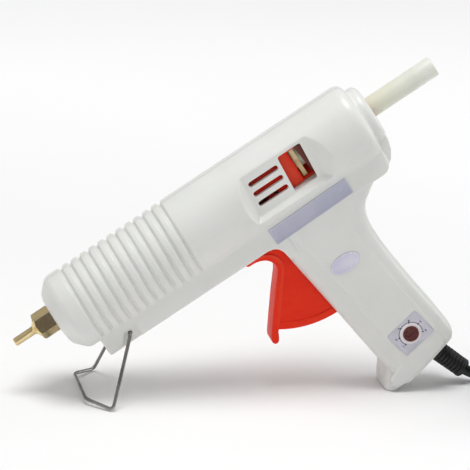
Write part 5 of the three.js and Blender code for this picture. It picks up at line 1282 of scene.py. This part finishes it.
plate_front = -13.75
plate_shape = rounded_shape(plate_width, plate_height, 1, *dial_at, plate_turn)
inner_shape = rounded_shape(plate_width - 1, plate_height - 1, 0.7, *dial_at, plate_turn)
dial_plate = outline("dial_plate_pressed", plate_shape, plate_front, -13.25)
dial_rim = outline("rim", plate_shape, plate_front - 0.13, plate_front + 0.1)
dial_inner = outline("inner", inner_shape, plate_front - 1, plate_front + 1)
combined(dial_plate, [combined(dial_rim, [dial_inner], "DIFFERENCE")])
dial_ring = rod("ring", 5.6, plate_front - 0.25, plate_front + 0.1, *dial_at, 64)
combined(dial_plate, [dial_ring])
dial_holes = [rod("hole", 4.4, -15, -13.5, *dial_at, 64), rod("hole", 5.1, -13.62, -12, *dial_at, 64)]
combined(dial_plate, dial_holes, "DIFFERENCE")
rounded(dial_plate, 0.05, 2, angle=50)
dressed(dial_plate, finish("pale_lilac", pale_lilac_nodes), "tool", "label_lilac", "dial_plate")

dial = turned_across("dial_knob", [
    (-14.65, 0), (-14.65, 3.4), (-14.95, 3.65), (-15, 3.9), (-14.85, 4.15), (-14.6, 4.22), (-13.45, 4.25),
    (-13.45, 4.8), (-12.4, 4.8), (-12.4, 2.4), (-11.3, 2.4), (-11.3, 0),
], 64, *dial_at)
dial_x, dial_z = dial_at
slot_reach = 2.9
slot_half = 0.4
slot_low = (dial_x - slot_reach, -16, dial_z - slot_half)
driver_slot = block("slot", slot_low, (dial_x + slot_reach, -14.3, dial_z + slot_half))
combined(dial, [driver_slot], "DIFFERENCE")
rounded(dial, 0.08, 2, angle=50)
dressed(dial, finish("dark_red_plastic", dark_red_nodes), "dial_body", "dark_red_plastic", "heat_dial")

arc_r = 6.55
arc_half = 0.16
ink = (plate_front - 0.03, plate_front + 0.02)
arc_turns = range(-18, 215, 8)
arc_line = [(arc_r + arc_half, turn) for turn in arc_turns]
arc_line += [(arc_r - arc_half, turn) for turn in reversed(arc_turns)]
arc = [(dial_x + r * cos(radians(turn)), dial_z + r * sin(radians(turn))) for r, turn in arc_line]
printed = [outline("printed_arc", arc, *ink)]
tick_length = 1.1
first_tick = 215
tick_step = 48
numbers_across = 8.5
numbers_up = 7.35
for i in range(6):
    angle = radians(first_tick - i * tick_step)
    way = Vector((cos(angle), sin(angle)))
    tick_at = Vector(dial_at) + way * (arc_r - 0.45)
    printed.append(bar("tick", tick_at, tick_at + way * tick_length, 0.3, *ink))
    bpy.ops.object.select_all(action="DESELECT")
    bpy.ops.object.text_add()
    number = bpy.context.object
    number.data.body = str(i + 1)
    number.data.align_x = "CENTER"
    number.data.align_y = "CENTER"
    number.data.size = 1.9
    number.data.offset = 0.05
    number.data.extrude = 0.025
    bpy.ops.object.convert(target="MESH")
    number = bpy.context.object
    spot = Vector(dial_at) + Vector((way.x * numbers_across, way.y * numbers_up))
    stood = Matrix.Rotation(-plate_turn, 4, "Y") @ Matrix.Rotation(pi / 2, 4, "X")
    printed.append(placed(number, Matrix.Translation((spot.x, plate_front - 0.005, spot.y)) @ stood))
bpy.ops.object.select_all(action="DESELECT")
for piece in printed:
    piece.select_set(True)
bpy.context.view_layer.objects.active = printed[0]
bpy.ops.object.join()
dial_print = mend(bpy.context.object)
dial_print.name = "dial_numbers"
dressed(dial_print, finish("dark_ink", ink_nodes), "tool", "label_lilac", angle=0)


# Label and badge. Two thin printed foils glued to the near side, a long one under the window and an oval
# one on the handle. Both are left bare, with only their foil and the narrow border of its edge.
def foil(name, colour, other, rough):
    """A thin printed foil, brushed, and rubbed here and there."""

    def nodes(shade):
        cloud = shade.noise(55, 2).between(0.3, 0.7)
        brushed = shade.noise(1300, 3, 0.6, (1, 1, 5))
        rubbed = shade.noise(320, 4, 0.6).between(0.55, 0.8)
        worn = shade.edge_wear(0.505, 0.56)
        return {
            "Base Color": (worn * 0.6 + rubbed * 0.2).mixed(cloud.mixed(colour, other), (0.74, 0.74, 0.78)),
            "Metallic": 0.35,
            "Roughness": brushed * 0.1 + rubbed * 0.08 + rough,
            "Normal": shade.bump(brushed, 0.00002, 0.4),
        }

    return finish(name, nodes)


def bare_foil(name, edge, field, material, node):
    """A foil with a field sunk inside the border of its edge."""
    piece = outline(name, edge, -13.95, -13.55)
    combined(piece, [outline("field", field, -14.95, -13.9)], "DIFFERENCE")
    rounded(piece, 0.04, 2, angle=50)
    dressed(piece, material, "tool", "label_lilac", node)


def oval(width, height):
    """Points of an oval about the middle of the badge."""
    turns = [i * pi / 32 for i in range(64)]
    return [(75.2 + width / 2 * cos(turn), -58.7 + height / 2 * sin(turn)) for turn in turns]


label_place = (74.6, -23)
label_turn = 0.025
label_edge = rounded_shape(48.6, 9.6, 0.7, *label_place, label_turn)
label_field = rounded_shape(47.6, 8.6, 0.4, *label_place, label_turn)
lilac_foil = foil("lilac_foil", (0.40, 0.41, 0.52), (0.46, 0.46, 0.56), 0.26)
bare_foil("side_label_foil", label_edge, label_field, lilac_foil, "side_label")
silver_foil = foil("silver_foil", (0.66, 0.65, 0.74), (0.56, 0.53, 0.7), 0.18)
bare_foil("handle_badge_foil", oval(17.2, 10.2), oval(16, 9), silver_foil, "handle_badge")


# Electrical parts in the handle. The lead is held by a clamp above the strain relief, its two cores run
# to the heat board, and the board's triac feeds the heater plates over two red silicone leads.
kept(dull("board_green", (0.03, 0.16, 0.06), (0.018, 0.09, 0.04), 0.34, 1800), "control_board")
kept(black_plastic, "potentiometer", "triac")
kept(dull("film_red", (0.36, 0.05, 0.03), (0.25, 0.035, 0.025), 0.3), "capacitor")
kept(zinc_steel, "board_screw_1", "board_screw_2", "clamp_screw_1", "clamp_screw_2")
wire_red = dull("wire_red", (0.45, 0.03, 0.025), (0.32, 0.025, 0.02), 0.42)
kept(wire_red, "heater_lead_1", "heater_lead_2")
kept(dull("wire_brown", (0.12, 0.05, 0.02), (0.08, 0.035, 0.015), 0.42), "mains_core_1")
kept(dull("wire_blue", (0.02, 0.06, 0.28), (0.015, 0.04, 0.2), 0.42), "mains_core_2")
kept(black_rubber, "inner_lead")
kept(dull("white_inner", (0.72, 0.72, 0.68), (0.62, 0.61, 0.56), 0.42), "cord_clamp")


# Studio. A plain white sweep under the tool, one large soft light above it and a small fill at its right
# end. The surround is pale, darker low down, with a bright band along the horizon behind the sweep.
def sweep_nodes(shade):
    cloud = shade.noise(3, 2).between(0.3, 0.7)
    away = shade.vector_maths("LENGTH", shade.here(), out=1)
    return {
        "Base Color": cloud.mixed((0.93, 0.93, 0.93), (0.95, 0.95, 0.95)),
        "Roughness": 0.85,
        # The sweep glows hardly at all near the tool and more away from it: painted light that keeps the far
        # floor white.
        "Emission Color": away.between(0.16, 0.7).mixed((0.02, 0.02, 0.02), (1.0, 1.0, 1.0)),
        "Emission Strength": 0.2,
        "Specular IOR Level": 0.1,
    }


bpy.ops.object.select_all(action="DESELECT")
bpy.ops.mesh.primitive_plane_add(size=40, location=(0, 0, -0.0002))
floor = bpy.context.object
floor.name = "studio_floor"
floor.data.materials.append(finish("studio_white", sweep_nodes))


def soft_light(name, place, target, size, power):
    """A square light of this size, turned to the target."""
    light = bpy.data.objects.new(name, bpy.data.lights.new(name, "AREA"))
    light.data.size = size
    light.data.energy = power
    turn = (Vector(place) - Vector(target)).to_track_quat("Z", "Y").to_matrix().to_4x4()
    light.matrix_world = Matrix.Translation(place) @ turn
    bpy.context.scene.collection.objects.link(light)


aim = (0, 0, 0.08)
soft_light("key", (-0.1, -0.12, 1.3), aim, 0.55, 9.5)
soft_light("fill", (1.25, 0.02, 0.4), aim, 0.6, 2.6)
world = bpy.data.worlds.new("studio")
bpy.context.scene.world = world
world.use_nodes = True
sky = Shade(world.node_tree)
direction = sky.node("SeparateXYZ", None, {"Vector": sky.node("TexCoord", out="Generated")}, out=2)
height = direction.between(-0.05, 0.7)
horizon = direction.between(0.13, 0.08)
surround = horizon.mixed(height.mixed((0.32, 0.32, 0.32), (1.0, 1.0, 1.0)), (1.7, 1.7, 1.7))
backdrop = world.node_tree.nodes["Background"]
sky.feed(backdrop.inputs["Color"], surround)
backdrop.inputs["Strength"].default_value = 0.525
bpy.context.scene.view_settings.view_transform = "Standard"
